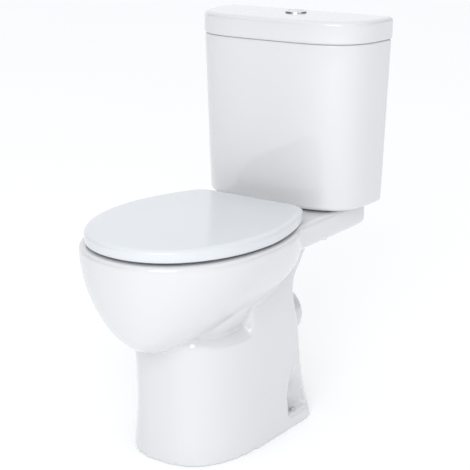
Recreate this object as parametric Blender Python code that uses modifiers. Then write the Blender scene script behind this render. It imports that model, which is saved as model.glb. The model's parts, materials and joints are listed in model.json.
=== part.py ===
"""Close coupled toilet: china pan, cistern and lid, hinged seat and cover, dual flush valve and fill valve.

Units are metres. +Z is up, the bowl's nose points to -Y and the wall is at +Y.
The origin is on the floor, under the middle of the object.
"""

import math

import bmesh
import bpy
from mathutils import Matrix, Vector

# ---------------------------------------------------------------- driving sizes
TOTAL_DEPTH = 0.612  # wall plane to the nose of the pan
RIM_Z = 0.409  # top of the china rim and of the deck
LID_TOP_Z = 0.770  # top of the cistern lid
PAN_WIDTH = 0.352
WALL_Y = TOTAL_DEPTH / 2

CONTACT_GAP = 0.0003  # between pieces that touch
CHINA_WALL = 0.012

# pan, distances measured from the wall plane
PAN_WIDEST = 0.381
NOSE_POWER = 2.12
BOWL_REAR = 0.180
BOWL_REACH = 0.177  # how far behind the widest line the bowl's inside may reach
BOWL_REAR_POWER = 2.6
BOWL_UNDER_POWER = 4.0
BOWL_DEPTH = 0.197
BOWL_LOWEST = 0.444
BOWL_DROP_POWER = 1.64
BOWL_SIDE_POWER = 1.46
BOWL_NOSE_POWER = 2.56
BOWL_BEAK_POWER = 2.93
BOWL_BACK_POWER = 3.0
BOWL_DRIFT_POWER = 0.5
RIM_EDGE = 0.006
RIM_BAND = 0.054
RIM_DEPTH = 0.034
RIM_UNDERCUT = 0.016
SUMP_RADIUS = 0.036
SUMP_TOP_Z = 0.190

DECK_WIDTH = 0.280
DECK_THICKNESS = 0.050
DECK_BACK = 0.003
DECK_FRONT = 0.275
DECK_CORNER = 0.012
DECK_EDGE = 0.006
DECK_ROOF = 0.014
DECK_FLOOR = 0.011

FOOT_WIDTH = 0.237
FOOT_NOSE = 0.493
FOOT_BACK = 0.145
FOOT_NOSE_POWER = 2.6
FOOT_BACK_POWER = 12
SHOULDER_Z = 0.214  # top of the pedestal's side at the front
SHOULDER_RISE = 0.032
STEP_Y_FROM_WALL = 0.350  # where the side steps up to the trap housing
STEP_LENGTH = 0.026
SCOOP_DEPTH = 0.030
SCOOP_LENGTH = 0.095
SCOOP_TOP = 0.118
SCOOP_EDGE = 0.007
FOOT_FLANGE = 0.025

SUMP_FROM_WALL = 0.364
TRAP_BORE = 0.027
TRAP_WALL = 0.009
TRAP_BEND = 0.048
TRAP_BEND_Z = 0.165
WEIR_Z = 0.230
SPIGOT_Z = 0.178
SPIGOT_RADIUS = 0.051
SPIGOT_BORE = 0.041
SPIGOT_END = 0.088
SPIGOT_LENGTH = 0.052

# cistern and lid
LID_WIDTH = 0.372
LID_DEPTH = 0.163
LID_HEIGHT = 0.042
LID_EDGE = 0.008
LID_WALL = 0.009
TANK_TOP_INSET = 0.0015
TANK_BASE_WIDTH = 0.347
TANK_BASE_DEPTH = 0.1525
TANK_CORNER = 0.012
TANK_EDGE = 0.009
TANK_WALL = 0.009
TANK_FLOOR = 0.012
TANK_GAP = 0.003  # between the deck and the cistern, held by the doughnut seal
TANK_POWER_X = 3.73
TANK_POWER_Y = 3.59
LIP_HEIGHT = 0.010
LIP_CLEARANCE = 0.003
LIP_WALL = 0.005

# what stands on the flush axis
FLUSH_FROM_WALL = 0.054
TAIL_RADIUS = 0.030
TAIL_BORE = 0.026
TAIL_LENGTH = 0.040
BACKNUT_HEIGHT = 0.015
BACKNUT_RADIUS = 0.036
INLET_CLEARANCE = 0.005
GASKET_RADIUS = 0.051
COUPLING_SPACING = 0.150
COUPLING_RADIUS = 0.004
FLANGE_RADIUS = 0.0375
FLANGE_THICKNESS = 0.004
WASHER_THICKNESS = 0.003
TOWER_RADIUS = 0.036
TOWER_WALL = 0.004
CAGE_HEIGHT = 0.060
TOWER_TOP_Z = LID_TOP_Z - 0.094
OVERFLOW_RADIUS = 0.009
OVERFLOW_WALL = 0.002
OVERFLOW_TOP_Z = LID_TOP_Z - 0.142
SEAL_RADIUS = 0.0285
SEAL_THICKNESS = 0.003
BUTTON_RADIUS = 0.0150
BUTTON_HEIGHT = 0.008
BUTTON_SPLIT = 0.004  # the dividing line, off centre so that one half is the smaller
BEZEL_RADIUS = 0.0215
BEZEL_RISE = 0.0035
BEZEL_WALL = 0.002
BEZEL_LENGTH = 0.028
ROD_OFFSET = 0.0095
ROD_RADIUS = 0.0025
ACTUATOR_TOP_Z = LID_TOP_Z - 0.0825

# fill valve
FILL_X = -0.112
FILL_FROM_WALL = 0.070
FILL_SHANK = 0.010
FILL_NUT_RADIUS = 0.016
FILL_RISER = 0.011
FILL_HEAD = 0.018
FILL_HEAD_Z = LID_TOP_Z - 0.130
FILL_HEAD_HEIGHT = 0.026
FLOAT_RADIUS = 0.028
FLOAT_HEIGHT = 0.065
FLOAT_TOP_Z = LID_TOP_Z - 0.148
FLOAT_CLEARANCE = 0.0015
FLOAT_WALL = 0.002
LEVER_ARM = 0.0335
LEVER_Z = LID_TOP_Z - 0.084
LEVER_THICKNESS = 0.005
TAIL_END_Z = 0.336

# seat and cover, distances measured from the wall plane
SEAT_WIDTH = 0.338
SEAT_NOSE = 0.604
SEAT_WIDEST = 0.378
SEAT_BACK = 0.198
SEAT_BACK_WIDTH = 0.240
SEAT_TAPER_POWER = 1.65
SEAT_CORNER_POWER = 14
SEAT_GAP = 0.0055
RING_THICKNESS = 0.0155
RING_INSET = 0.0068
RING_BACK_WIDTH = 0.202
COVER_GAP = 0.0025
COVER_THICKNESS = 0.0055
COVER_SKIRT = 0.0045
COVER_DROP = 0.0002
OPENING_HALF_WIDTH = 0.100
OPENING_CENTRE = 0.405
OPENING_FRONT = 0.145
OPENING_REAR = 0.108
HINGE_FROM_WALL = 0.2075
HINGE_RISE = 0.0155
HINGE_SPACING = 0.155
BARREL_LENGTH = 0.020
BARREL_RADIUS = 0.0065
EAR_LENGTH = 0.008
HINGE_PLAY = 0.0008
PIN_RADIUS = 0.003
PIN_CLEARANCE = 0.0003
PIN_REACH = 0.008
NOTCH_FRONT = 0.0375
SEAT_BOLT_FROM_WALL = 0.2235
SEAT_BOLT_RADIUS = 0.003
SEAT_BOLT_LENGTH = 0.034
BUNG_RADIUS = 0.0062
BUFFER_RADIUS = 0.007

FLOOR_SCREW_FROM_WALL = 0.208
FLOOR_SCREW_SPACING = 0.208
FLOOR_SCREW_RADIUS = 0.0035

# ---------------------------------------------------------------- derived places
TANK_BASE_Z = RIM_Z + TANK_GAP
TANK_FLOOR_Z = TANK_BASE_Z + TANK_FLOOR
LID_BASE_Z = LID_TOP_Z - LID_HEIGHT
TANK_TOP_Z = LID_BASE_Z - CONTACT_GAP
DECK_BASE_Z = RIM_Z - DECK_THICKNESS
RING_BASE_Z = RIM_Z + SEAT_GAP
RING_TOP_Z = RING_BASE_Z + RING_THICKNESS
COVER_INNER_Z = RING_TOP_Z + COVER_GAP
COVER_TOP_Z = COVER_INNER_Z + COVER_THICKNESS
SEAL_Z = TANK_FLOOR_Z + WASHER_THICKNESS + FLANGE_THICKNESS + 0.003 + 3 * CONTACT_GAP
HINGE_Z = RIM_Z + HINGE_RISE
BEZEL_TOP_Z = LID_TOP_Z + BEZEL_RISE
INLET_RADIUS = BACKNUT_RADIUS + INLET_CLEARANCE

ROUND_STEPS = 28
SMALL_STEPS = 16
SCENE_NAME = "close_coupled_toilet"


def from_wall(distance):
    """The Y of a place this far in front of the wall plane."""
    return WALL_Y - distance


# ---------------------------------------------------------------- scene and helpers
def clear_scene():
    """Removes what the new file starts with."""
    for obj in list(bpy.data.objects):
        bpy.data.objects.remove(obj)


def collection(name):
    """The collection that this group of pieces goes in."""
    made = bpy.data.collections.new(name)
    bpy.context.scene.collection.children.link(made)
    return made


def material(name, colour, roughness, metallic=0.0):
    """A plain material in this finish, made once."""
    made = bpy.data.materials.new(name)
    made.use_nodes = True
    shader = made.node_tree.nodes["Principled BSDF"]
    shader.inputs["Base Color"].default_value = (*colour, 1.0)
    shader.inputs["Roughness"].default_value = roughness
    shader.inputs["Metallic"].default_value = metallic
    return made


def place(name, mesh, finish=None):
    """Links a mesh as a part, or as a hidden cutter when it has no finish."""
    obj = bpy.data.objects.new(name, mesh)
    if finish is None:
        CUTTERS.objects.link(obj)
        obj.hide_render = True
        obj.display_type = "WIRE"
    else:
        PARTS.objects.link(obj)
        mesh.materials.append(FINISH[finish])
    return obj


def loft(name, rings, finish=None):
    """Skins rings of points and caps the ends."""
    mesh = bpy.data.meshes.new(name)
    bm = bmesh.new()
    rows = [[bm.verts.new(p) for p in ring] for ring in rings]
    count = len(rows[0])
    for low, high in zip(rows, rows[1:]):
        for i in range(count):
            j = (i + 1) % count
            bm.faces.new((low[i], low[j], high[j], high[i]))
    bm.faces.new(reversed(rows[0]))
    bm.faces.new(rows[-1])
    bmesh.ops.recalc_face_normals(bm, faces=bm.faces)
    bm.to_mesh(mesh)
    bm.free()
    return place(name, mesh, finish)


def box(name, low, high, finish=None, edge=0.0):
    """A box between two corners, with its edges rounded by a Bevel modifier."""
    mesh = bpy.data.meshes.new(name)
    bm = bmesh.new()
    bmesh.ops.create_cube(bm, size=1.0)
    low, high = Vector(low), Vector(high)
    size = high - low
    bmesh.ops.scale(bm, vec=size, verts=bm.verts)
    bmesh.ops.translate(bm, vec=(low + high) / 2, verts=bm.verts)
    bm.to_mesh(mesh)
    bm.free()
    obj = place(name, mesh, finish)
    if edge:
        bevel = obj.modifiers.new("edges", "BEVEL")
        bevel.width = edge
        bevel.segments = 2
    return obj


def cylinder(name, radius, start, end, finish=None, steps=SMALL_STEPS):
    """A rod between two points."""
    start, end = Vector(start), Vector(end)
    mesh = bpy.data.meshes.new(name)
    bm = bmesh.new()
    bmesh.ops.create_cone(
        bm, cap_ends=True, segments=steps, radius1=radius, radius2=radius, depth=(end - start).length
    )
    turn = Vector((0, 0, 1)).rotation_difference(end - start).to_matrix().to_4x4()
    bmesh.ops.transform(bm, matrix=Matrix.Translation((start + end) / 2) @ turn, verts=bm.verts)
    bm.to_mesh(mesh)
    bm.free()
    return place(name, mesh, finish)


def turned(name, profile, at, finish=None, steps=ROUND_STEPS):
    """A closed (radius, z) profile spun about the vertical through at=(x, y). It runs down its outer side."""
    mesh = bpy.data.meshes.new(name)
    points = [(radius, 0.0, z) for radius, z in profile]
    edges = [(i, (i + 1) % len(points)) for i in range(len(points))]
    if profile[0][0] == 0 and profile[-1][0] == 0:
        edges.pop()
    mesh.from_pydata(points, edges, [])
    obj = place(name, mesh, finish)
    obj.location = (at[0], at[1], 0)
    screw = obj.modifiers.new("turn", "SCREW")
    screw.steps = screw.render_steps = steps
    screw.use_merge_vertices = True
    screw.merge_threshold = 0.00001
    return obj


def pivot(obj, point):
    """Puts the object's origin on its joint's axis, and leaves its shape where it is."""
    obj.data.transform(Matrix.Translation(-Vector(point)))
    obj.location = point
    return obj


def boolean(obj, other, operation):
    """Applies one exact Boolean and removes its tool."""
    step = obj.modifiers.new(f"{operation.lower()} {other.name}", "BOOLEAN")
    step.operation = operation
    step.solver = "EXACT"
    step.object = other
    return obj


def cut(obj, *others):
    """Cuts a tool out of a piece."""
    for other in others:
        boolean(obj, other, "DIFFERENCE")


def join(obj, *others):
    """Joins a second solid to a piece."""
    for other in others:
        boolean(obj, other, "UNION")


def tube_profile(outer, inner, low, high):
    """The (radius, z) profile of a plain tube."""
    return [(outer, high), (outer, low), (inner, low), (inner, high)]


def hex_nut(name, radius, bore, low, high, at, finish):
    """A six-sided nut with a round bore."""
    nut = cylinder(name, radius, (*at, low), (*at, high), finish, steps=6)
    cut(nut, cylinder(f"{name}_bore", bore, (*at, low - 0.01), (*at, high + 0.01), steps=20))
    return nut


def power(value, exponent):
    """A power that keeps the sign."""
    return math.copysign(abs(value) ** exponent, value)


def steps_between(low, high, count):
    """Evenly spaced values, with both ends."""
    return [low + (high - low) * i / (count - 1) for i in range(count)]


def blend(value, low, high):
    """0 before low, 1 after high, and a smooth turn between them."""
    t = min(1.0, max(0.0, (value - low) / (high - low)))
    return t * t * (3 - 2 * t)


def interpolate(value, table):
    """Reads a short table of (key, value) pairs with straight lines between them."""
    for (k0, v0), (k1, v1) in zip(table, table[1:]):
        if value <= k1:
            return v0 + (v1 - v0) * (value - k0) / (k1 - k0)
    return table[-1][1]


# ---------------------------------------------------------------- outlines in plan
def oval(half_width, front, rear, centre_y, front_power, rear_power, count):
    """A closed oval in plan, with its own length and fullness in front of and behind its widest line."""
    points = []
    for i in range(count):
        angle = 2 * math.pi * i / count
        along, across = math.sin(angle), math.cos(angle)
        exponent = 2 / (front_power if along < 0 else rear_power)
        reach = front if along < 0 else rear
        points.append((half_width * power(across, exponent), centre_y + reach * power(along, exponent)))
    return points


def tank_outline(half_width, depth, back_y, corner, side_count=24):
    """Flat at the back with two corners, bowed at the front."""
    bow_depth = depth - corner
    bow_back = back_y - corner
    points = []
    for angle in steps_between(0, math.pi / 2, 4)[:-1]:
        points.append((half_width - corner + corner * math.cos(angle), bow_back + corner * math.sin(angle)))
    points.append((half_width - corner, back_y))
    mirrored = [(-x, y) for x, y in reversed(points)]
    bow = []
    for angle in steps_between(math.pi, 2 * math.pi, side_count)[1:-1]:
        x = half_width * power(math.cos(angle), 2 / TANK_POWER_X)
        y = bow_back + bow_depth * power(math.sin(angle), 2 / TANK_POWER_Y)
        bow.append((x, y))
    return points + mirrored + bow


def seat_outline(inset, front_count=25, side_count=8):
    """Oval nose, sides that close in towards the back, and a straight back edge with rounded corners."""
    half = SEAT_WIDTH / 2 - inset
    centre_y = from_wall(SEAT_WIDEST)
    nose = SEAT_NOSE - SEAT_WIDEST - inset
    rear = SEAT_WIDEST - SEAT_BACK - inset
    back_half = SEAT_BACK_WIDTH / 2 - inset

    def side(share):
        """Half the width of the seat, this far back."""
        shut = (1 - share**SEAT_CORNER_POWER) ** (1 / SEAT_CORNER_POWER)
        return (half - (half - back_half) * share**SEAT_TAPER_POWER) * shut

    shares = steps_between(0, 0.90, side_count) + [0.94, 0.965, 0.985, 0.996]
    right = [(side(share), centre_y + rear * share) for share in shares]
    left = [(-x, y) for x, y in reversed(right)]
    front = []
    for angle in steps_between(math.pi, 2 * math.pi, front_count)[1:-1]:
        front.append(
            (
                half * power(math.cos(angle), 2 / NOSE_POWER),
                centre_y + nose * power(math.sin(angle), 2 / NOSE_POWER),
            )
        )
    return right + left + front


def at_height(outline, z):
    """An outline of (x, y) points, lifted to a height."""
    return [Vector((x, y, z)) for x, y in outline]


# ---------------------------------------------------------------- pan
def bowl_section(drop):
    """Half width, nose, widest line and back of the bowl at this drop below the rim."""
    share = drop / BOWL_DEPTH
    low, widest = from_wall(BOWL_LOWEST), from_wall(PAN_WIDEST)
    nose, back = from_wall(TOTAL_DEPTH), widest + BOWL_REAR
    half = PAN_WIDTH / 2 * (1 - share**BOWL_DROP_POWER) ** (1 / BOWL_SIDE_POWER)
    front_y = nose + (low - nose) * (1 - (1 - share**BOWL_NOSE_POWER) ** (1 / BOWL_BEAK_POWER))
    back_y = back + (low - back) * share**BOWL_BACK_POWER
    middle_y = widest + (low - widest) * share**BOWL_DRIFT_POWER
    return half, front_y, min(max(middle_y, front_y + 0.001), back_y - 0.001), back_y


def bowl_ring(drop, inset=0.0, count=48):
    """One level of the bowl outside, this far below the rim."""
    half, front_y, middle_y, back_y = bowl_section(drop)
    outline = oval(
        half - inset,
        middle_y - front_y - inset,
        back_y - middle_y - inset,
        middle_y,
        NOSE_POWER,
        BOWL_REAR_POWER + (BOWL_UNDER_POWER - BOWL_REAR_POWER) * min(1.0, drop / BOWL_DEPTH * 3),
        count,
    )
    return at_height(outline, RIM_Z - drop)


def bowl_body(name):
    """The outside of the bowl. Its back half rises from the lowest point up to the deck."""
    rings = [bowl_ring(0.0, RIM_EDGE), bowl_ring(RIM_EDGE * 0.3, RIM_EDGE * 0.3), bowl_ring(RIM_EDGE)]
    for share in (0.12, 0.22, 0.32, 0.42, 0.52, 0.61, 0.70, 0.78, 0.85, 0.91, 0.955, 0.985):
        rings.append(bowl_ring(share * BOWL_DEPTH))
    return loft(name, rings)


def bowl_inside(name, grow, low_z, high_z):
    """The inside of the bowl: the mouth, the undercut below the rim, and the slope to the sump."""
    half = PAN_WIDTH / 2 - RIM_BAND
    centre_y = from_wall(PAN_WIDEST + 0.022)
    front = TOTAL_DEPTH - PAN_WIDEST - 0.022 - RIM_BAND
    rear = BOWL_REACH - RIM_BAND
    sump_y = from_wall(SUMP_FROM_WALL)
    depth = RIM_Z - SUMP_TOP_Z
    under = RIM_Z - RIM_DEPTH
    table = [
        (high_z, 0.0, 0.0),
        (under, 0.0, 0.0),
        (under - 0.004, RIM_UNDERCUT, 0.0),
        (under - 0.020, RIM_UNDERCUT, 0.04),
        (RIM_Z - 0.42 * depth, RIM_UNDERCUT * 0.5, 0.18),
        (RIM_Z - 0.62 * depth, 0.0, 0.38),
        (RIM_Z - 0.78 * depth, 0.0, 0.60),
        (RIM_Z - 0.91 * depth, 0.0, 0.84),
        (SUMP_TOP_Z, 0.0, 1.0),
        (low_z, 0.0, 1.0),
    ]
    rings = []
    for z, wider, share in table:
        side = (half + wider) * (1 - share) + SUMP_RADIUS * share + grow
        nose = (front + wider) * (1 - share) + SUMP_RADIUS * share + grow
        back = (rear + wider) * (1 - share) + SUMP_RADIUS * share + grow
        middle = centre_y * (1 - share) + sump_y * share
        rings.append(at_height(oval(side, nose, back, middle, 2.1, 2.1, 40), z - grow * min(share, 1.0)))
    return loft(name, rings)


def foot_half_width(z):
    """Half the width of the pedestal at a height."""
    narrow = FOOT_WIDTH / 2
    return interpolate(
        z,
        [
            (0.0, narrow),
            (0.100, narrow - 0.0070),
            (SHOULDER_Z, narrow - 0.0040),
            (0.290, narrow - 0.0080),
            (0.380, narrow - 0.0020),
        ],
    )


def foot_nose(z):
    """Where the nose of the pedestal is, out from the wall, at a height."""
    waist = [(0.0, 0.0), (0.110, 0.005), (SHOULDER_Z, 0.0), (0.400, 0.0)]
    return from_wall(FOOT_NOSE - interpolate(z, waist))


def foot_back(z):
    """The slanting back edge of the pedestal: it leans forward, then flares back under the deck."""
    lean = [
        (0.0, 0.0), (0.114, 0.030), (0.204, 0.050), (0.265, 0.064), (0.292, 0.062), (0.325, 0.040),
        (0.380, 0.0)
    ]
    return from_wall(FOOT_BACK + interpolate(z, lean))


def foot_top(y):
    """The height of the pedestal's side: low beside the bowl, and up to the deck behind the step."""
    step_y = from_wall(STEP_Y_FROM_WALL)
    low = SHOULDER_Z - 0.008 + 0.022 * blend(y, from_wall(FOOT_NOSE), step_y)
    return low + (DECK_BASE_Z - low) * blend(y, step_y - STEP_LENGTH / 2, step_y + STEP_LENGTH / 2)


def foot_body(name, inset, low_z, high_z, back_extra=0.0, finish=None):
    """The pedestal's walls, from an oval nose and nearly straight sides back to a square rear end."""
    rings = []
    centre = FOOT_NOSE - 0.190
    for share in (0.0, 0.14, 0.28, 0.42, 0.54, 0.63, 0.71, 0.78, 0.87, 1.0):
        z = low_z + (high_z - low_z) * share
        nose, middle = foot_nose(z) + inset, from_wall(centre)
        back = foot_back(z) - inset + back_extra
        half = foot_half_width(z) - inset
        outline = oval(half, middle - nose, back - middle, middle, FOOT_NOSE_POWER, FOOT_BACK_POWER, 56)
        rings.append(at_height(outline, z))
    return loft(name, rings, finish)


def shoulder_cutter(name, shift):
    """Clears the pedestal's top around the bowl. What stays slopes up inwards, to meet the bowl."""
    wide, top = FOOT_WIDTH, RIM_Z + 0.05
    rings = []
    start, step_y = from_wall(FOOT_NOSE + 0.03), from_wall(STEP_Y_FROM_WALL)
    stations = [start, start + 0.035, start + 0.06, start + 0.09, start + 0.12]
    stations += steps_between(step_y - STEP_LENGTH / 2, step_y + STEP_LENGTH / 2, 7)
    side = foot_half_width(SHOULDER_Z)
    for y in stations:
        edge = foot_top(y) - shift
        behind = blend(y, step_y - STEP_LENGTH / 2, step_y + STEP_LENGTH / 2)
        rise = SHOULDER_RISE * (1 - behind) * (0.6 + 0.4 * blend(y, start + 0.028, start + 0.075))
        half = [(wide, -0.10), (side - 0.003, 0.0), (0.066, 1.0)]
        shape = [(-x, edge + rise * share) for x, share in half]
        shape += [(x, edge + rise * share) for x, share in reversed(half)]
        shape += [(wide, top), (-wide, top)]
        rings.append([Vector((x, y + shift, z)) for x, z in shape])
    return loft(name, rings)


def trap_path():
    """Down from the sump, round the bend, up over the weir and down to the spigot, in the middle plane."""
    sump_y = from_wall(SUMP_FROM_WALL)
    bend = TRAP_BEND
    path = [(sump_y, SUMP_TOP_Z + 0.012), (sump_y, TRAP_BEND_Z)]
    for angle in steps_between(math.pi, 2 * math.pi, 9)[1:]:
        path.append((sump_y + bend + bend * math.cos(angle), TRAP_BEND_Z + bend * math.sin(angle)))
    weir_y, weir_z = sump_y + 3 * bend, WEIR_Z - bend
    slope = math.radians(40)
    for angle in steps_between(math.pi, math.pi / 2 - slope, 8):
        path.append((weir_y + bend * math.cos(angle), weir_z + bend * math.sin(angle)))
    start_y = path[-1][0] + (path[-1][1] - SPIGOT_Z - bend * (1 - math.cos(slope))) / math.tan(slope)
    for angle in steps_between(slope, 0, 4):
        path.append(
            (start_y + bend * (math.sin(slope) - math.sin(angle)), SPIGOT_Z + bend * (1 - math.cos(angle)))
        )
    path.append((path[-1][0] + 0.006, SPIGOT_Z))
    return [Vector(point) for point in path]


def trap_tube(name, radius, count=16):
    """A round tube of this radius along the trap."""
    path = trap_path()
    rings = []
    for i, point in enumerate(path):
        ahead = path[min(i + 1, len(path) - 1)] - path[max(i - 1, 0)]
        normal = Vector((-ahead.y, ahead.x)).normalized()
        ring = []
        for k in range(count):
            angle = 2 * math.pi * k / count
            side = point + normal * radius * math.sin(angle)
            ring.append(Vector((radius * math.cos(angle), side.x, side.y)))
        rings.append(ring)
    return loft(name, rings)


def deck_body():
    """The deck that carries the cistern and the hinges."""
    half = DECK_WIDTH / 2
    back, front = from_wall(DECK_BACK), from_wall(DECK_FRONT)

    def ring(inset, z):
        """One level of the shape, this far in."""
        points = []
        for angle in steps_between(0, math.pi / 2, 5):
            points.append(
                (
                    half - inset - DECK_CORNER + DECK_CORNER * math.cos(angle),
                    back - inset - DECK_CORNER + DECK_CORNER * math.sin(angle),
                )
            )
        points += [(-x, y) for x, y in reversed(points)]
        points += [(-half + inset, front), (half - inset, front)]
        return at_height(points, z)

    rings = [
        ring(DECK_EDGE * 2, DECK_BASE_Z),
        ring(DECK_EDGE * 0.7, DECK_BASE_Z + DECK_EDGE * 0.7),
        ring(0, DECK_BASE_Z + DECK_EDGE * 2),
        ring(0, RIM_Z - DECK_EDGE * 0.7),
        ring(DECK_EDGE * 0.2, RIM_Z - DECK_EDGE * 0.2),
        ring(DECK_EDGE * 0.7, RIM_Z - CONTACT_GAP),
    ]
    return loft("deck_body", rings)


def scoop(name, side, grow):
    """The pocket over the foot at each side, for the floor screw. It dies out up the pedestal's side."""
    outer = FOOT_WIDTH / 2 + 0.030
    inner = FOOT_WIDTH / 2 - SCOOP_DEPTH - grow
    low, bend, top = FOOT_FLANGE - grow * 6, SCOOP_TOP * 0.5 + grow, SCOOP_TOP * 1.3 + grow
    shape = [(inner, low), (outer, low), (outer, top), (inner, bend)]
    rings = []
    for y in (from_wall(FOOT_BACK + SCOOP_LENGTH + grow), from_wall(FOOT_BACK - 0.030)):
        rings.append([Vector((side * x, y, z)) for x, z in shape])
    obj = loft(name, rings)
    if not grow:
        bevel = obj.modifiers.new("edges", "BEVEL")
        bevel.width = SCOOP_EDGE
        bevel.segments = 3
    return obj


def pan():
    """Pan: bowl, deck, pedestal, trap and spigot as one casting."""
    body = foot_body("pan", 0.0, 0.0, DECK_BASE_Z + 0.015, finish="china")
    cut(body, shoulder_cutter("shoulder", 0.0))
    hollow = foot_body("pedestal_hollow", CHINA_WALL, -0.02, DECK_BASE_Z + 0.003, back_extra=0.10)
    cut(hollow, shoulder_cutter("shoulder_inside", CHINA_WALL))
    cut(hollow, scoop("scoop_liner_left", -1, CHINA_WALL), scoop("scoop_liner_right", 1, CHINA_WALL))
    cut(body, hollow)
    trap = trap_tube("trap_body", TRAP_BORE + TRAP_WALL)
    liner = bowl_inside("bowl_liner", CHINA_WALL * 0.9, SUMP_TOP_Z - 0.030, RIM_Z - RIM_DEPTH - 0.010)
    join(body, bowl_body("bowl_body"), deck_body(), liner, trap)
    spigot_y = from_wall(SPIGOT_END)
    spigot_start = (0, spigot_y - SPIGOT_LENGTH, SPIGOT_Z)
    join(
        body,
        cylinder("spigot_body", SPIGOT_RADIUS, spigot_start, (0, spigot_y, SPIGOT_Z), steps=ROUND_STEPS)
    )
    flush_y = from_wall(FLUSH_FROM_WALL)
    half_chamber = COUPLING_SPACING / 2 - COUPLING_RADIUS - 0.018
    chamber = box(
        "flush_way",
        (-half_chamber, from_wall(PAN_WIDEST - BOWL_REACH + RIM_BAND + 0.030), DECK_BASE_Z + DECK_FLOOR),
        (half_chamber, flush_y + INLET_RADIUS * 0.85, RIM_Z - DECK_ROOF),
        edge=0.004,
    )
    bore_start = (0, spigot_y - SPIGOT_LENGTH * 0.7, SPIGOT_Z)
    bore = cylinder(
        "spigot_bore", SPIGOT_BORE, bore_start, (0, spigot_y + 0.01, SPIGOT_Z), steps=ROUND_STEPS
    )
    inlet_start = (0, flush_y, RIM_Z - DECK_ROOF - 0.008)
    inlet = cylinder("inlet_hole", INLET_RADIUS, inlet_start, (0, flush_y, RIM_Z + 0.02), steps=ROUND_STEPS)
    inside = bowl_inside("bowl_cavity", 0.0, SUMP_TOP_Z - 0.030, RIM_Z + 0.010)
    cut(body, inside, trap_tube("trap_bore", TRAP_BORE), bore, chamber, inlet)
    for side, mark in ((-1, "left"), (1, "right")):
        holes = [
            (
                "coupling_hole", COUPLING_RADIUS + 0.002, COUPLING_SPACING / 2, FLUSH_FROM_WALL,
                DECK_BASE_Z - 0.03
            ),
            (
                "seat_hole", BUNG_RADIUS + 0.0003, HINGE_SPACING / 2, SEAT_BOLT_FROM_WALL,
                RIM_Z - SEAT_BOLT_LENGTH
            ),
        ]
        if side < 0:
            holes.append(
                ("supply_hole", FILL_NUT_RADIUS + 0.003, -FILL_X, FILL_FROM_WALL, DECK_BASE_Z - 0.03)
            )
        for kind, radius, x, back, low_z in holes:
            place_at = (side * x, from_wall(back))
            cut(body, cylinder(f"{kind}_{mark}", radius, (*place_at, low_z), (*place_at, RIM_Z + 0.03)))
        screw_at = (side * FLOOR_SCREW_SPACING / 2, from_wall(FLOOR_SCREW_FROM_WALL))
        screw_radius = FLOOR_SCREW_RADIUS + 0.0015
        screw_hole = cylinder(
            f"floor_screw_hole_{mark}", screw_radius, (*screw_at, -0.01), (*screw_at, 0.06)
        )
        cut(body, scoop(f"scoop_{mark}", side, 0.0), screw_hole)
    return body


# ---------------------------------------------------------------- cistern
def tank_ring(inset, z, share=1.0):
    """The cistern's outline at height z. It tapers from the lid down to its base."""
    top_half = LID_WIDTH / 2 - TANK_TOP_INSET
    top_depth = LID_DEPTH - TANK_TOP_INSET * 2
    half = TANK_BASE_WIDTH / 2 + (top_half - TANK_BASE_WIDTH / 2) * share
    depth = TANK_BASE_DEPTH + (top_depth - TANK_BASE_DEPTH) * share
    back = WALL_Y - TANK_TOP_INSET
    outline = tank_outline(half - inset, depth - 2 * inset, back - inset, max(TANK_CORNER - inset, 0.004))
    return at_height(outline, z)


def tank_level(z, inset=0.0):
    """The outline of the tank at a height."""
    return tank_ring(inset, z, (z - TANK_BASE_Z) / (TANK_TOP_Z - TANK_BASE_Z))


def cistern():
    """Cistern: a tapered tank, open at the top, with holes in its floor."""
    base, top = TANK_BASE_Z, TANK_TOP_Z
    rings = [tank_ring(TANK_EDGE, base, 0.0), tank_ring(TANK_EDGE * 0.3, base + TANK_EDGE * 0.3, 0.0)]
    rings += [tank_level(base + TANK_EDGE), tank_level(top - 0.002), tank_level(top, 0.0015)]
    body = loft("cistern", rings, "china")
    floor = TANK_FLOOR_Z
    inner = [tank_ring(TANK_WALL + 0.005, floor, 0.0), tank_level(floor + 0.005, TANK_WALL)]
    inner += [tank_level(top, TANK_WALL), tank_level(top + 0.01, TANK_WALL)]
    cut(body, loft("cistern_inside", inner))
    flush_y = from_wall(FLUSH_FROM_WALL)
    low, high = base - 0.01, floor + 0.01
    outlet = cylinder(
        "outlet_hole", TAIL_RADIUS + 0.002, (0, flush_y, low), (0, flush_y, high), steps=ROUND_STEPS
    )
    supply_at = (FILL_X, from_wall(FILL_FROM_WALL))
    supply = cylinder("valve_hole", FILL_SHANK + 0.0015, (*supply_at, low), (*supply_at, high))
    cut(body, outlet, supply)
    for side, mark in ((-1, "left"), (1, "right")):
        at = (side * COUPLING_SPACING / 2, flush_y)
        cut(body, cylinder(f"tank_hole_{mark}", COUPLING_RADIUS + 0.0015, (*at, low), (*at, high)))
    return body


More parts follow.
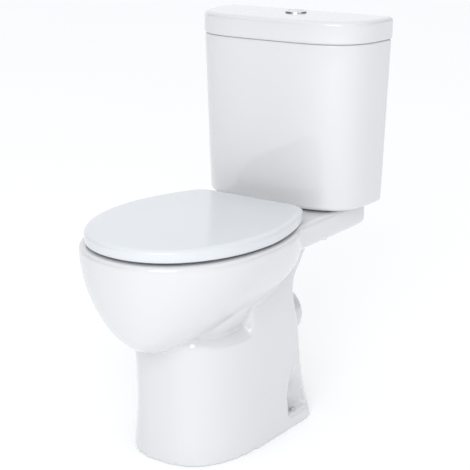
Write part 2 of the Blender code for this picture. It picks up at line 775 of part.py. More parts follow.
def cistern_lid():
    """Lid: it sits on the tank's rim, with a lip inside the tank to locate it."""
    half, depth = LID_WIDTH / 2, LID_DEPTH

    def ring(inset, z):
        """One level of the shape, this far in."""
        outline = tank_outline(
            half - inset, depth - 2 * inset, WALL_Y - inset, max(TANK_CORNER - inset, 0.003)
        )
        return at_height(outline, z)

    edge = LID_EDGE
    rings = [ring(0.003, LID_BASE_Z), ring(0.0008, LID_BASE_Z + 0.0012), ring(0.0, LID_BASE_Z + 0.004)]
    rings += [ring(0.0, LID_TOP_Z - edge), ring(edge * 0.13, LID_TOP_Z - edge * 0.5)]
    rings += [ring(edge * 0.5, LID_TOP_Z - edge * 0.13), ring(edge, LID_TOP_Z)]
    body = loft("cistern_lid", rings, "china")
    lip_inset = TANK_TOP_INSET + TANK_WALL + LIP_CLEARANCE
    lip_rings = [ring(lip_inset, LID_BASE_Z - LIP_HEIGHT), ring(lip_inset, LID_BASE_Z + 0.006)]
    join(body, loft("lid_lip", lip_rings))
    inset = lip_inset + LIP_WALL
    hollow = [ring(inset, LID_BASE_Z - LIP_HEIGHT - 0.01), ring(inset, LID_TOP_Z - LID_WALL)]
    flush_y = from_wall(FLUSH_FROM_WALL)
    hole_from = (0, flush_y, LID_BASE_Z - 0.02)
    hole_radius = BUTTON_RADIUS + 0.0005 + BEZEL_WALL + 0.0010
    hole = cylinder(
        "button_hole", hole_radius, hole_from, (0, flush_y, LID_TOP_Z + 0.01), steps=ROUND_STEPS
    )
    cut(body, loft("lid_inside", hollow), hole)
    return body


# ---------------------------------------------------------------- button
def button_set():
    """Chrome bezel, its collar nut, and two half-round buttons with their push rods."""
    at = (0, from_wall(FLUSH_FROM_WALL))
    bore = BUTTON_RADIUS + 0.0005
    sleeve = bore + BEZEL_WALL
    base, top = LID_TOP_Z + CONTACT_GAP, BEZEL_TOP_Z
    profile = [(bore, top), (BEZEL_RADIUS - 0.002, top), (BEZEL_RADIUS - 0.0006, top - 0.0006)]
    profile += [(BEZEL_RADIUS, top - 0.0018), (BEZEL_RADIUS, base), (sleeve, base)]
    profile += [(sleeve, LID_TOP_Z - BEZEL_LENGTH), (bore, LID_TOP_Z - BEZEL_LENGTH)]
    turned("button_bezel", profile, at, "chrome", steps=36)
    nut_top = LID_TOP_Z - LID_WALL - CONTACT_GAP
    turned("bezel_nut", tube_profile(0.026, sleeve + 0.0008, nut_top - 0.008, nut_top), at, "plastic")
    halves = (("full_flush_button", -1), ("half_flush_button", 1))
    for name, side in halves:
        edge_x = BUTTON_SPLIT + side * 0.0003
        top_z, low_z = top - 0.0004, top - 0.0004 - BUTTON_HEIGHT
        rings = []
        for z, inset in ((low_z, 0.0), (top_z - 0.0008, 0.0), (top_z, 0.0008)):
            radius = BUTTON_RADIUS - inset
            limit = math.acos(abs(edge_x + side * inset) / radius)
            spread = math.pi - limit if side < 0 else limit
            arc = steps_between(-spread, spread, 17)
            rings.append(
                [Vector((side * radius * math.cos(a), at[1] + radius * math.sin(a), z)) for a in arc]
            )
        loft(name, rings, "chrome")
        rod_x = side * ROD_OFFSET
        rod_top, rod_low = low_z - CONTACT_GAP, ACTUATOR_TOP_Z + CONTACT_GAP
        profile = [
            (0, rod_top), (0.0042, rod_top), (0.0042, rod_top - 0.006), (ROD_RADIUS, rod_top - 0.008)
        ]
        profile += [(ROD_RADIUS, rod_low), (0, rod_low)]
        turned(name.replace("button", "rod"), profile, (rod_x, at[1]), "plastic", steps=SMALL_STEPS)


# ---------------------------------------------------------------- flush valve
def flush_valve():
    """Flush valve: base and tail, cage and tower, spindle with its seal, actuators, back nut and gaskets."""
    at = (0, from_wall(FLUSH_FROM_WALL))
    floor = TANK_FLOOR_Z + CONTACT_GAP
    washer_top = floor + WASHER_THICKNESS
    turned(
        "flush_valve_washer", tube_profile(FLANGE_RADIUS - 0.001, TAIL_RADIUS + 0.0005, floor, washer_top),
        at, "rubber"
    )
    low = washer_top + CONTACT_GAP
    deck = low + FLANGE_THICKNESS
    seat_top = deck + 0.003
    profile = [(TAIL_BORE, seat_top), (TAIL_BORE + 0.002, seat_top), (TAIL_BORE + 0.0025, deck)]
    profile += [(FLANGE_RADIUS, deck), (FLANGE_RADIUS, low), (TAIL_RADIUS, low)]
    profile += [(TAIL_RADIUS, TANK_FLOOR_Z - TAIL_LENGTH), (TAIL_BORE, TANK_FLOOR_Z - TAIL_LENGTH)]
    body = turned("flush_valve_base", profile, at, "plastic", steps=32)
    cage_top = deck + CAGE_HEIGHT
    ring = turned(
        "cage_ring", tube_profile(TOWER_RADIUS, TOWER_RADIUS - TOWER_WALL, cage_top - 0.006, cage_top), at,
        steps=32
    )
    join(body, ring)
    for i in range(4):
        angle = math.pi / 4 + i * math.pi / 2
        x, y = 0.034 * math.cos(angle), at[1] + 0.034 * math.sin(angle)
        post = cylinder(f"cage_post_{i}", 0.0032, (x, y, deck - 0.002), (x, y, cage_top - 0.002), steps=10)
        join(body, post)
    tower_low = cage_top + CONTACT_GAP
    inner = TOWER_RADIUS - TOWER_WALL
    profile = [(0, TOWER_TOP_Z), (TOWER_RADIUS - 0.002, TOWER_TOP_Z), (TOWER_RADIUS, TOWER_TOP_Z - 0.002)]
    profile += [(TOWER_RADIUS, tower_low), (inner, tower_low)]
    profile += [(inner, TOWER_TOP_Z - TOWER_WALL), (0, TOWER_TOP_Z - TOWER_WALL)]
    tower = turned("flush_valve_tower", profile, at, "plastic", steps=32)
    for side, mark in ((-1, "full"), (1, "half")):
        x = side * ROD_OFFSET
        hole_from, hole_to = (x, at[1], TOWER_TOP_Z - 0.02), (x, at[1], TOWER_TOP_Z + 0.01)
        cut(tower, cylinder(f"actuator_hole_{mark}", 0.0040, hole_from, hole_to))
        top = ACTUATOR_TOP_Z
        profile = [(0, top), (0.0055, top), (0.0055, top - 0.003), (0.0034, top - 0.003), (0.0034, top - 0.021)]
        profile += [(0.0050, top - 0.021), (0.0050, top - 0.025), (0, top - 0.025)]
        turned(f"{mark}_flush_actuator", profile, (x, at[1]), "coloured", steps=SMALL_STEPS)
    seal_low = SEAL_Z
    seal_top = seal_low + SEAL_THICKNESS
    turned(
        "flush_seal", tube_profile(SEAL_RADIUS, OVERFLOW_RADIUS + 0.0004, seal_low, seal_top), at, "rubber",
        steps=32
    )
    hub, bore = OVERFLOW_RADIUS, OVERFLOW_RADIUS - OVERFLOW_WALL
    disc = seal_top + CONTACT_GAP
    profile = [(hub, OVERFLOW_TOP_Z), (hub, disc + 0.003), (SEAL_RADIUS - 0.003, disc + 0.003)]
    profile += [(SEAL_RADIUS - 0.003, disc), (hub, disc), (hub, seal_low - 0.006)]
    profile += [(bore, seal_low - 0.006), (bore, OVERFLOW_TOP_Z)]
    turned("flush_spindle", profile, at, "coloured", steps=24)
    nut_top = TANK_BASE_Z - CONTACT_GAP
    nut = tube_profile(BACKNUT_RADIUS, TAIL_RADIUS + 0.0008, nut_top - BACKNUT_HEIGHT, nut_top)
    turned("flush_back_nut", nut, at, "plastic", steps=32)
    seal_in, gap = BACKNUT_RADIUS + 0.0004, CONTACT_GAP
    profile = [
        (GASKET_RADIUS, TANK_BASE_Z - gap), (GASKET_RADIUS, RIM_Z + gap),
        (INLET_RADIUS - 0.0006, RIM_Z + gap)
    ]
    profile += [
        (INLET_RADIUS - 0.0006, RIM_Z - 0.010), (INLET_RADIUS - 0.002, RIM_Z - 0.014),
        (seal_in, RIM_Z - 0.014)
    ]
    profile += [(seal_in, TANK_BASE_Z - gap)]
    turned("coupling_gasket", profile, at, "rubber", steps=32)


def coupling_bolts():
    """Close coupling bolts: a head in the tank, washers in the tank and below the deck, and a wing nut."""
    gap = CONTACT_GAP
    for side, mark in ((-1, "left"), (1, "right")):
        at = (side * COUPLING_SPACING / 2, from_wall(FLUSH_FROM_WALL))
        floor, under = TANK_FLOOR_Z + gap, DECK_BASE_Z - gap
        radius = COUPLING_RADIUS
        washer = tube_profile(0.013, radius + 0.0005, floor, floor + 0.003)
        turned(f"coupling_washer_{mark}", washer, at, "rubber", steps=20)
        head = floor + 0.003 + gap
        end = under - 0.030
        profile = [(0, head + 0.0045), (0.006, head + 0.0045), (0.0085, head + 0.0025), (0.0085, head)]
        profile += [(radius, head), (radius, end + 0.001), (radius - 0.001, end), (0, end)]
        turned(f"coupling_bolt_{mark}", profile, at, "steel", steps=SMALL_STEPS)
        lower = tube_profile(0.012, radius + 0.0005, under - 0.003, under)
        turned(f"deck_washer_{mark}", lower, at, "rubber", steps=20)
        nut_top = under - 0.003 - gap
        nut = turned(
            f"wing_nut_{mark}",
            tube_profile(0.0085, radius + 0.0005, nut_top - 0.011, nut_top),
            at,
            "plastic",
            steps=SMALL_STEPS,
        )
        for wing in (-1, 1):
            inner, outer = at[0] + wing * 0.007, at[0] + wing * 0.018
            low_point = (min(inner, outer), at[1] - 0.0017, nut_top - 0.0125)
            high_point = (max(inner, outer), at[1] + 0.0017, nut_top - 0.0025)
            join(nut, box(f"wing_{mark}_{wing}", low_point, high_point))


# ---------------------------------------------------------------- fill valve
def fill_valve():
    """Bottom entry fill valve: body and tail, washer, back nut, cap, float, and the lever the float works."""
    at = (FILL_X, from_wall(FILL_FROM_WALL))
    gap = CONTACT_GAP
    floor = TANK_FLOOR_Z + gap
    turned(
        "fill_valve_washer", tube_profile(0.018, FILL_SHANK + 0.0005, floor, floor + 0.0025), at, "rubber",
        steps=24
    )
    flange = floor + 0.0025 + gap
    head_top = FILL_HEAD_Z + FILL_HEAD_HEIGHT
    profile = [
        (0, head_top), (FILL_HEAD, head_top), (FILL_HEAD, FILL_HEAD_Z), (FILL_RISER, FILL_HEAD_Z - 0.006)
    ]
    profile += [
        (FILL_RISER, flange + 0.006), (0.017, flange + 0.004), (0.017, flange), (FILL_SHANK, flange)
    ]
    profile += [
        (FILL_SHANK, TAIL_END_Z), (FILL_SHANK - 0.003, TAIL_END_Z), (FILL_SHANK - 0.003, TAIL_END_Z + 0.05)
    ]
    profile += [(0, TAIL_END_Z + 0.05)]
    turned("fill_valve_body", profile, at, "plastic", steps=24)
    nut_top = TANK_BASE_Z - gap
    hex_nut("fill_back_nut", FILL_NUT_RADIUS, FILL_SHANK + 0.0005, nut_top - 0.009, nut_top, at, "plastic")
    cap_low, cap_top = head_top + gap, head_top + 0.010
    cap = turned(
        "fill_valve_cap",
        [
            (0, cap_top), (FILL_HEAD - 0.001, cap_top), (FILL_HEAD, cap_top - 0.001), (FILL_HEAD, cap_low),
            (0, cap_low)
        ],
        at,
        "plastic",
        steps=24,
    )
    pivot_y = at[1] + LEVER_ARM - 0.0215
    for wing in (-1, 1):
        near, far = at[0] + wing * 0.0058, at[0] + wing * 0.0083
        low_point = (min(near, far), pivot_y - 0.0045, cap_top - 0.002)
        high_point = (max(near, far), pivot_y + 0.0045, LEVER_Z + 0.0045)
        join(cap, box(f"cheek_{wing}", low_point, high_point))
    bore_from, bore_to = (at[0] - 0.02, pivot_y, LEVER_Z), (at[0] + 0.02, pivot_y, LEVER_Z)
    cut(cap, cylinder("cheek_bore", 0.0018, bore_from, bore_to, steps=14))
    pin_from, pin_to = (at[0] - 0.0095, pivot_y, LEVER_Z), (at[0] + 0.0095, pivot_y, LEVER_Z)
    cylinder("lever_pin", 0.0015, pin_from, pin_to, "steel", steps=14)
    low_point = (at[0] - 0.0050, at[1] - 0.0265, LEVER_Z - LEVER_THICKNESS / 2)
    high_point = (at[0] + 0.0050, pivot_y + 0.0045, LEVER_Z + LEVER_THICKNESS / 2)
    lever = box("float_lever", low_point, high_point, "coloured", edge=0.0008)
    pivot(lever, (at[0], pivot_y, LEVER_Z))
    cut(lever, cylinder("lever_bore", 0.0018, bore_from, bore_to, steps=14))
    top, low = FLOAT_TOP_Z, FLOAT_TOP_Z - FLOAT_HEIGHT
    inner, wall = FILL_RISER + FLOAT_CLEARANCE, FLOAT_WALL
    profile = [
        (FLOAT_RADIUS, top), (FLOAT_RADIUS, low), (FLOAT_RADIUS - wall, low),
        (FLOAT_RADIUS - wall, top - wall)
    ]
    profile += [(inner + wall, top - wall), (inner + wall, low), (inner, low), (inner, top)]
    cup = turned("float_cup", profile, at, "plastic", steps=24)
    rod_y = at[1] - 0.0215
    rod_top = LEVER_Z - LEVER_THICKNESS / 2 - gap - 0.0006
    join(
        cup,
        cylinder("float_rod", 0.0018, (at[0], rod_y, top - wall * 0.7), (at[0], rod_y, rod_top), steps=10)
    )


# ---------------------------------------------------------------- seat and cover
def hinge_places():
    """Each side's hinge: where its barrel, the cover's ear and the ends of its pin lie along X."""
    barrel_in = HINGE_SPACING / 2 - BARREL_LENGTH / 2
    barrel_out = HINGE_SPACING / 2 + BARREL_LENGTH / 2
    ear_out = barrel_in - HINGE_PLAY
    ear_in = ear_out - EAR_LENGTH
    return ear_in, ear_out, barrel_in, barrel_out


def seat_ring():
    """Seat: an oval ring with notches at the back for the hinges."""
    base, top = RING_BASE_Z, RING_TOP_Z
    inset = RING_INSET
    centre = (0, from_wall(OPENING_CENTRE))
    levels = [(0.003, base), (0.0, base + 0.003), (0.0, top - 0.006), (0.002, top - 0.002), (0.006, top)]
    body = loft(
        "seat_ring", [at_height(seat_outline(inset + more), z) for more, z in levels], "seat_plastic"
    )
    pivot(body, (0, from_wall(HINGE_FROM_WALL), HINGE_Z))
    opening = []
    for more, z in (
        (0.004, base - 0.004), (0.001, base + 0.003), (0.0, top - 0.008), (0.003, top - 0.002),
        (0.008, top + 0.002)
    ):
        ring = oval(
            OPENING_HALF_WIDTH + more, OPENING_FRONT + more, OPENING_REAR + more, centre[1], 2.1, 2.3, 48
        )
        opening.append(at_height(ring, z))
    cut(body, loft("seat_opening", opening))
    ear_in, ear_out, barrel_in, barrel_out = hinge_places()
    notch_front = from_wall(HINGE_FROM_WALL) - NOTCH_FRONT + 0.0075
    far_back = from_wall(SEAT_BACK) + 0.02
    axis_y = from_wall(HINGE_FROM_WALL)
    for side, mark in ((-1, "left"), (1, "right")):
        notch_in, notch_out = side * (ear_in - HINGE_PLAY), side * (barrel_out + HINGE_PLAY)
        low_point = (min(notch_in, notch_out), notch_front, base - 0.01)
        high_point = (max(notch_in, notch_out), far_back, top + 0.01)
        cut(body, box(f"hinge_notch_{mark}", low_point, high_point))
        near, far = side * RING_BACK_WIDTH / 2, side * 0.2
        low_point = (min(near, far), axis_y - 0.0235, base - 0.01)
        high_point = (max(near, far), far_back, top + 0.01)
        cut(body, box(f"corner_cut_{mark}", low_point, high_point))
        bore_from = side * (ear_in - HINGE_PLAY - PIN_REACH - PIN_CLEARANCE)
        bore_to = side * (barrel_out + HINGE_PLAY + PIN_REACH + PIN_CLEARANCE)
        start, end = (bore_from, axis_y, HINGE_Z), (bore_to, axis_y, HINGE_Z)
        cut(body, cylinder(f"ring_bore_{mark}", PIN_RADIUS + PIN_CLEARANCE, start, end))
    return body


def seat_cover():
    """Cover: a shallow cap over the seat, with an ear at each hinge. Its back edge is open for the hinge."""
    base, inner, top = RING_BASE_Z - COVER_DROP * 4, COVER_INNER_Z, COVER_TOP_Z
    levels = [(0.0030, base), (0.0008, base + 0.0012), (0.0, base + 0.004), (0.0, top - 0.008)]
    levels += [(0.0006, top - 0.0050), (0.0024, top - 0.0025), (0.0058, top - 0.0007), (0.0120, top)]
    body = loft("seat_cover", [at_height(seat_outline(more), z) for more, z in levels], "seat_plastic")
    pivot(body, (0, from_wall(HINGE_FROM_WALL), HINGE_Z))
    hollow = [(COVER_SKIRT, base - 0.01), (COVER_SKIRT, inner - 0.003), (COVER_SKIRT + 0.003, inner)]
    cut(body, loft("cover_inside", [at_height(seat_outline(more), z) for more, z in hollow]))
    axis_y = from_wall(HINGE_FROM_WALL)
    ear_in, ear_out, barrel_in, barrel_out = hinge_places()
    half = max(RING_BACK_WIDTH / 2 + 0.003, barrel_out + HINGE_PLAY + PIN_REACH + 0.001)
    back_gap = box(
        "back_gap", (-half, axis_y - 0.01, base - 0.01), (half, from_wall(SEAT_BACK) + 0.01, inner - 0.0001)
    )
    cut(body, back_gap)
    for side, mark in ((-1, "left"), (1, "right")):
        low_x, high_x = sorted((side * ear_in, side * ear_out))
        join(
            body,
            cylinder(
                f"ear_{mark}", BARREL_RADIUS, (low_x, axis_y, HINGE_Z), (high_x, axis_y, HINGE_Z), steps=20
            ),
            box(
                f"ear_web_{mark}",
                (low_x, axis_y - BARREL_RADIUS, HINGE_Z),
                (high_x, axis_y + BARREL_RADIUS * 0.5, inner + 0.002),
            ),
        )
        bore_from, bore_to = (low_x - 0.01, axis_y, HINGE_Z), (high_x + 0.01, axis_y, HINGE_Z)
        cut(body, cylinder(f"ear_bore_{mark}", PIN_RADIUS + PIN_CLEARANCE, bore_from, bore_to))
    return body


def hinges():
    """Top fixed hinges: a base on the deck, a pin, a bolt and the rubber anchor it draws up in the china."""
    axis_y = from_wall(HINGE_FROM_WALL)
    bolt_y = from_wall(SEAT_BOLT_FROM_WALL)
    ear_in, ear_out, barrel_in, barrel_out = hinge_places()
    plate_low, plate_top = RIM_Z + CONTACT_GAP, RIM_Z + 0.0040
    for side, mark in ((-1, "left"), (1, "right")):
        low_x, high_x = sorted((side * barrel_in, side * barrel_out))
        low_point = (low_x, bolt_y - 0.011, plate_low)
        high_point = (high_x, axis_y + BARREL_RADIUS, plate_top)
        base = box(f"hinge_base_{mark}", low_point, high_point, "chrome")
        post = box(
            f"hinge_post_{mark}", (low_x, axis_y - BARREL_RADIUS, plate_low + 0.001),
            (high_x, axis_y + BARREL_RADIUS, HINGE_Z)
        )
        barrel = cylinder(
            f"barrel_{mark}", BARREL_RADIUS, (low_x, axis_y, HINGE_Z), (high_x, axis_y, HINGE_Z), steps=20
        )
        join(base, post, barrel)
        bore_from, bore_to = (low_x - 0.01, axis_y, HINGE_Z), (high_x + 0.01, axis_y, HINGE_Z)
        bolt_at = (side * HINGE_SPACING / 2, bolt_y)
        radius = SEAT_BOLT_RADIUS
        cut(
            base,
            cylinder(f"barrel_bore_{mark}", PIN_RADIUS + PIN_CLEARANCE, bore_from, bore_to),
            cylinder(
                f"base_hole_{mark}", radius + 0.0005, (*bolt_at, RIM_Z - 0.01), (*bolt_at, RIM_Z + 0.02)
            ),
        )
        ends = sorted(
            (side * (ear_in - HINGE_PLAY - PIN_REACH), side * (barrel_out + HINGE_PLAY + PIN_REACH))
        )
        cylinder(
            f"hinge_pin_{mark}", PIN_RADIUS, (ends[0], axis_y, HINGE_Z), (ends[1], axis_y, HINGE_Z), "steel"
        )
        head = plate_top + CONTACT_GAP
        end = RIM_Z - SEAT_BOLT_LENGTH + 0.002
        profile = [(0, head + 0.0028), (0.0045, head + 0.0028), (0.0060, head + 0.0012), (0.0060, head)]
        profile += [(radius, head), (radius, end), (0, end)]
        turned(f"seat_bolt_{mark}", profile, bolt_at, "steel", steps=SMALL_STEPS)
        bung = tube_profile(BUNG_RADIUS, radius + 0.0004, RIM_Z - 0.024, RIM_Z - 0.0004)
        turned(f"seat_bung_{mark}", bung, bolt_at, "rubber", steps=20)
        nut_top = RIM_Z - 0.024 - CONTACT_GAP
        nut_name = f"anchor_nut_{mark}"
        hex_nut(nut_name, BUNG_RADIUS - 0.0004, radius + 0.0003, nut_top - 0.005, nut_top, bolt_at, "steel")


def buffers():
    """Rubber buffers: four under the seat and two under the cover."""
    lowest = RIM_Z + CONTACT_GAP
    for index, (x, distance) in enumerate(((0.118, 0.445), (0.125, 0.318))):
        for side, mark in ((-1, "left"), (1, "right")):
            profile = [(0, RING_BASE_Z - CONTACT_GAP), (BUFFER_RADIUS, RING_BASE_Z - CONTACT_GAP)]
            profile += [(BUFFER_RADIUS, lowest + 0.001), (BUFFER_RADIUS - 0.001, lowest), (0, lowest)]
            where = "front" if index == 0 else "rear"
            turned(
                f"seat_buffer_{where}_{mark}", profile, (side * x, from_wall(distance)), "rubber",
                steps=SMALL_STEPS
            )
    for side, mark in ((-1, "left"), (1, "right")):
        high, low = COVER_INNER_Z - CONTACT_GAP, RING_TOP_Z + CONTACT_GAP
        profile = [(0, high), (0.006, high), (0.006, low + 0.0005), (0.0055, low), (0, low)]
        turned(
            f"cover_buffer_{mark}", profile, (side * 0.088, from_wall(0.520)), "rubber", steps=SMALL_STEPS
        )


def floor_screws():
    """Floor screws with their caps, in the pocket over each foot."""
    for side, mark in ((-1, "left"), (1, "right")):
        at = (side * FLOOR_SCREW_SPACING / 2, from_wall(FLOOR_SCREW_FROM_WALL))
        ledge = FOOT_FLANGE + CONTACT_GAP
        washer = tube_profile(0.0075, FLOOR_SCREW_RADIUS + 0.0005, ledge, ledge + 0.0015)
        turned(f"floor_washer_{mark}", washer, at, "plastic", steps=SMALL_STEPS)
        head = ledge + 0.0015 + CONTACT_GAP
        profile = [(0, head + 0.004), (0.004, head + 0.004), (0.0062, head + 0.002), (0.0062, head)]
        profile += [(FLOOR_SCREW_RADIUS, head), (FLOOR_SCREW_RADIUS, 0.0015), (0, 0.0015)]
        turned(f"floor_screw_{mark}", profile, at, "steel", steps=SMALL_STEPS)


# ---------------------------------------------------------------- build
clear_scene()
PARTS = collection(SCENE_NAME)
CUTTERS = collection("cutters")
CUTTERS.hide_render = True
FINISH = {
    "china": material("white_china", (0.90, 0.91, 0.92), 0.08),
    "seat_plastic": material("white_seat_plastic", (0.88, 0.90, 0.92), 0.18),
    "chrome": material("chrome", (0.80, 0.81, 0.83), 0.08, 1.0),
    "steel": material("stainless_steel", (0.62, 0.62, 0.63), 0.30, 1.0),
    "plastic": material("white_plastic", (0.82, 0.83, 0.84), 0.40),
    "coloured": material("blue_plastic", (0.10, 0.25, 0.55), 0.40),
    "rubber": material("black_rubber", (0.03, 0.03, 0.03), 0.80),
}

pan()
cistern()
cistern_lid()
button_set()
flush_valve()
coupling_bolts()
fill_valve()
seat_ring()
seat_cover()
hinges()
buffers()
floor_screws()
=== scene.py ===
"""Looks for a close coupled toilet: glazed china, moulded seat, chrome buttons, cistern fittings."""

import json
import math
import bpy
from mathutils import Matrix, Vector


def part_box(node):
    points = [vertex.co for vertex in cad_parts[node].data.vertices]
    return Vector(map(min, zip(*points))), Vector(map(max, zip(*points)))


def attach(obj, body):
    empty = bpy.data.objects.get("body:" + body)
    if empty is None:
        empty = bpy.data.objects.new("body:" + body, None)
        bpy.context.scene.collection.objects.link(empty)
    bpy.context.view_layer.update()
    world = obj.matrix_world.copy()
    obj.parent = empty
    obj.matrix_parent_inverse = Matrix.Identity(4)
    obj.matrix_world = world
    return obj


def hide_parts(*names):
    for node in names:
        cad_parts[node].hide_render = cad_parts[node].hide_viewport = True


bl_info = {
    "name": "Close Coupled Toilet",
    "version": (1, 0, 0),
    "blender": (4, 5, 0),
    "location": "View3D > Sidebar > Toilet",
    "description": "Builds the china, seat, buttons and cistern fittings of a close coupled toilet",
    "category": "Add Mesh",
}

import bmesh
import bpy
from bpy.props import FloatProperty, FloatVectorProperty, IntProperty, PointerProperty
from mathutils import Matrix, Vector

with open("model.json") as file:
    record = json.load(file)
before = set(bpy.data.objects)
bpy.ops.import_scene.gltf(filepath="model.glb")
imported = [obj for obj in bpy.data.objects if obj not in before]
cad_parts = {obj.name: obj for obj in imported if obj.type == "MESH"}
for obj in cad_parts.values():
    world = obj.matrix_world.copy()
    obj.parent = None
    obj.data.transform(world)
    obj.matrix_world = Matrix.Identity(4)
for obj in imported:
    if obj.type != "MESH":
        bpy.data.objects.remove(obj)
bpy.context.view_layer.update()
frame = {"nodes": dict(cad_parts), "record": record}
NODES = frame["nodes"]
SLOT_OF = {part["node"]: part["material_slot"] for part in frame["record"]["subparts"]}

PAN_LOW, PAN_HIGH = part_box("pan")
TANK_LOW, TANK_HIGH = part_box("cistern")
LID_LOW, LID_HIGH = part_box("cistern_lid")
COVER_LOW, COVER_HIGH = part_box("seat_cover")
RING_LOW, RING_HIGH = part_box("seat_ring")
BEZEL_LOW, BEZEL_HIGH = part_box("button_bezel")
PIN_LOW, PIN_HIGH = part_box("hinge_pin_right")

RIM_Z = PAN_HIGH[2]
WALL_Y = LID_HIGH[1]
DEPTH = WALL_Y - PAN_LOW[1]
FLUSH_Y = (BEZEL_LOW[1] + BEZEL_HIGH[1]) / 2
HINGE_Y = (PIN_LOW[1] + PIN_HIGH[1]) / 2
HINGE_Z = (PIN_LOW[2] + PIN_HIGH[2]) / 2

# the china pan, distances from the wall plane
WIDEST = 0.381
NOSE_POWER = 2.12
BOWL_DEPTH = 0.197
BOWL_LOWEST = 0.444
BOWL_REAR = 0.180
RIM_EDGE = 0.006
DECK_BASE = RIM_Z - 0.050
FOOT_HALF = 0.1185
FOOT_NOSE = 0.493
FOOT_BACK = 0.145
SHOULDER_Z = 0.214
STEP = 0.350
STEP_LENGTH = 0.026
SUMP = 0.364
SUMP_TOP = 0.190
SUMP_RADIUS = 0.036
BEND = 0.048
BEND_Z = 0.165
WEIR_Z = 0.230
SPIGOT_Z = 0.178
SPIGOT_END = 0.088
CHINA_WALL = 0.012


def out(distance):
    """The Y of a place this far out from the wall plane."""
    return WALL_Y - distance


# ---------------------------------------------------------------- sizes and colours
class ToiletShape(bpy.types.PropertyGroup):
    """Sizes of the finish that a user would change."""

    grain: FloatProperty(
        name="China grain", description="Cell size the pan is cast at", default=0.0042, unit="LENGTH"
    )
    softness: IntProperty(
        name="Softness", description="Rounds of smoothing on the pan's edges", default=3, min=0
    )
    crown: FloatProperty(
        name="Cover crown", description="How far the cover domes", default=0.0012, unit="LENGTH"
    )
    dish: FloatProperty(
        name="Button dish", description="How hollow the buttons are", default=0.0009, unit="LENGTH"
    )
    pitch: FloatProperty(
        name="Thread pitch", description="Between turns on the tails", default=0.0018, unit="LENGTH"
    )


class ToiletColours(bpy.types.PropertyGroup):
    """Colours of each finish."""

    china: FloatVectorProperty(
        name="China", description="Glazed china", subtype="COLOR", default=(0.715, 0.72, 0.735)
    )
    clay: FloatVectorProperty(
        name="Bare clay", description="Where no glaze is", subtype="COLOR", default=(0.62, 0.55, 0.46)
    )
    seat: FloatVectorProperty(
        name="Seat", description="Seat and cover", subtype="COLOR", default=(0.715, 0.74, 0.77)
    )
    fitting: FloatVectorProperty(
        name="Fittings", description="Moulded valves", subtype="COLOR", default=(0.78, 0.79, 0.78)
    )
    valve: FloatVectorProperty(
        name="Valve", description="Moving valve pieces", subtype="COLOR", default=(0.06, 0.20, 0.50)
    )
    rubber: FloatVectorProperty(
        name="Rubber", description="Seals and buffers", subtype="COLOR", default=(0.025, 0.025, 0.027)
    )


class ToiletStage(bpy.types.PropertyGroup):
    """Light round the toilet."""

    world: FloatProperty(name="Surround", description="Strength of the surround", default=1.0, min=0)
    side: FloatProperty(
        name="Flags", description="Strength left at the two dark sides", default=0.10, min=0
    )
    dim: FloatProperty(
        name="Front", description="How much darker the surround is in front", default=0.25, min=0
    )
    key: FloatProperty(name="Key", description="Power of the big light", default=58.0, min=0, unit="POWER")
    fill: FloatProperty(
        name="Fill", description="Power of the side light", default=1.0, min=0, unit="POWER"
    )
    glow: FloatProperty(
        name="Floor glow", description="Light that the floor gives off itself", default=0.14, min=0
    )


# ---------------------------------------------------------------- shader expressions
class Socket:
    """A socket that adds its own maths nodes when it is used in an expression."""

    def __init__(self, graph, socket):
        self.graph, self.socket = graph, socket

    def maths(self, operation, *values):
        return self.graph.maths(operation, *values)

    def __add__(self, other):
        return self.maths("ADD", self, other)

    def __sub__(self, other):
        return self.maths("SUBTRACT", self, other)

    def __rsub__(self, other):
        return self.maths("SUBTRACT", other, self)

    def __mul__(self, other):
        return self.maths("MULTIPLY", self, other)

    __radd__ = __add__
    __rmul__ = __mul__

    def ramp(self, low, high):
        """0 below low, 1 above high."""
        settings = {"clamp": True, "interpolation_type": "SMOOTHSTEP"}
        return self.graph.node("ShaderNodeMapRange", settings, {0: self, 1: low, 2: high, 3: 0.0, 4: 1.0})


class Graph:
    """One material's nodes. node() makes any node from its settings and its inputs."""

    def __init__(self, name, world=None):
        self.material = world or bpy.data.materials.new(name)
        self.material.use_nodes = True
        self.tree = self.material.node_tree
        self.shader = self.tree.nodes["Background" if world else "Principled BSDF"]
        coordinates = self.tree.nodes.new("ShaderNodeTexCoord")
        self.place = Socket(self, coordinates.outputs["Generated" if world else "Object"])
        geometry = self.tree.nodes.new("ShaderNodeNewGeometry")
        self.normal = Socket(self, geometry.outputs["Normal"])

    def plug(self, target, value):
        if isinstance(value, Socket):
            self.tree.links.new(value.socket, target)
        elif isinstance(value, tuple) and len(value) == 3 and target.type == "RGBA":
            target.default_value = (*value, 1.0)
        else:
            target.default_value = value

    def node(self, kind, settings=None, inputs=None, output=0):
        made = self.tree.nodes.new(kind)
        for key, value in (settings or {}).items():
            setattr(made, key, value)
        for key, value in (inputs or {}).items():
            self.plug(made.inputs[key], value)
        return Socket(self, made.outputs[output])

    def maths(self, operation, *values):
        return self.node("ShaderNodeMath", {"operation": operation}, dict(enumerate(values)))

    def noise(self, scale, detail=3.0, roughness=0.5):
        inputs = {"Vector": self.place, "Scale": scale, "Detail": detail, "Roughness": roughness}
        return self.node("ShaderNodeTexNoise", {"noise_dimensions": "3D"}, inputs, "Fac")

    def part(self, vector, axis):
        return self.node("ShaderNodeSeparateXYZ", None, {0: vector}, "XYZ".index(axis))

    def mix(self, factor, first, second):
        inputs = {"Factor": factor, 6: first, 7: second}
        return self.node("ShaderNodeMix", {"data_type": "RGBA"}, inputs, 2)

    def bump(self, height, strength, distance):
        return self.node(
            "ShaderNodeBump", None, {"Strength": strength, "Distance": distance, "Height": height}, 0
        )

    def finish(self, **inputs):
        for key, value in inputs.items():
            self.plug(self.shader.inputs[key.replace("_", " ").title().replace("Ior", "IOR")], value)
        return self.material


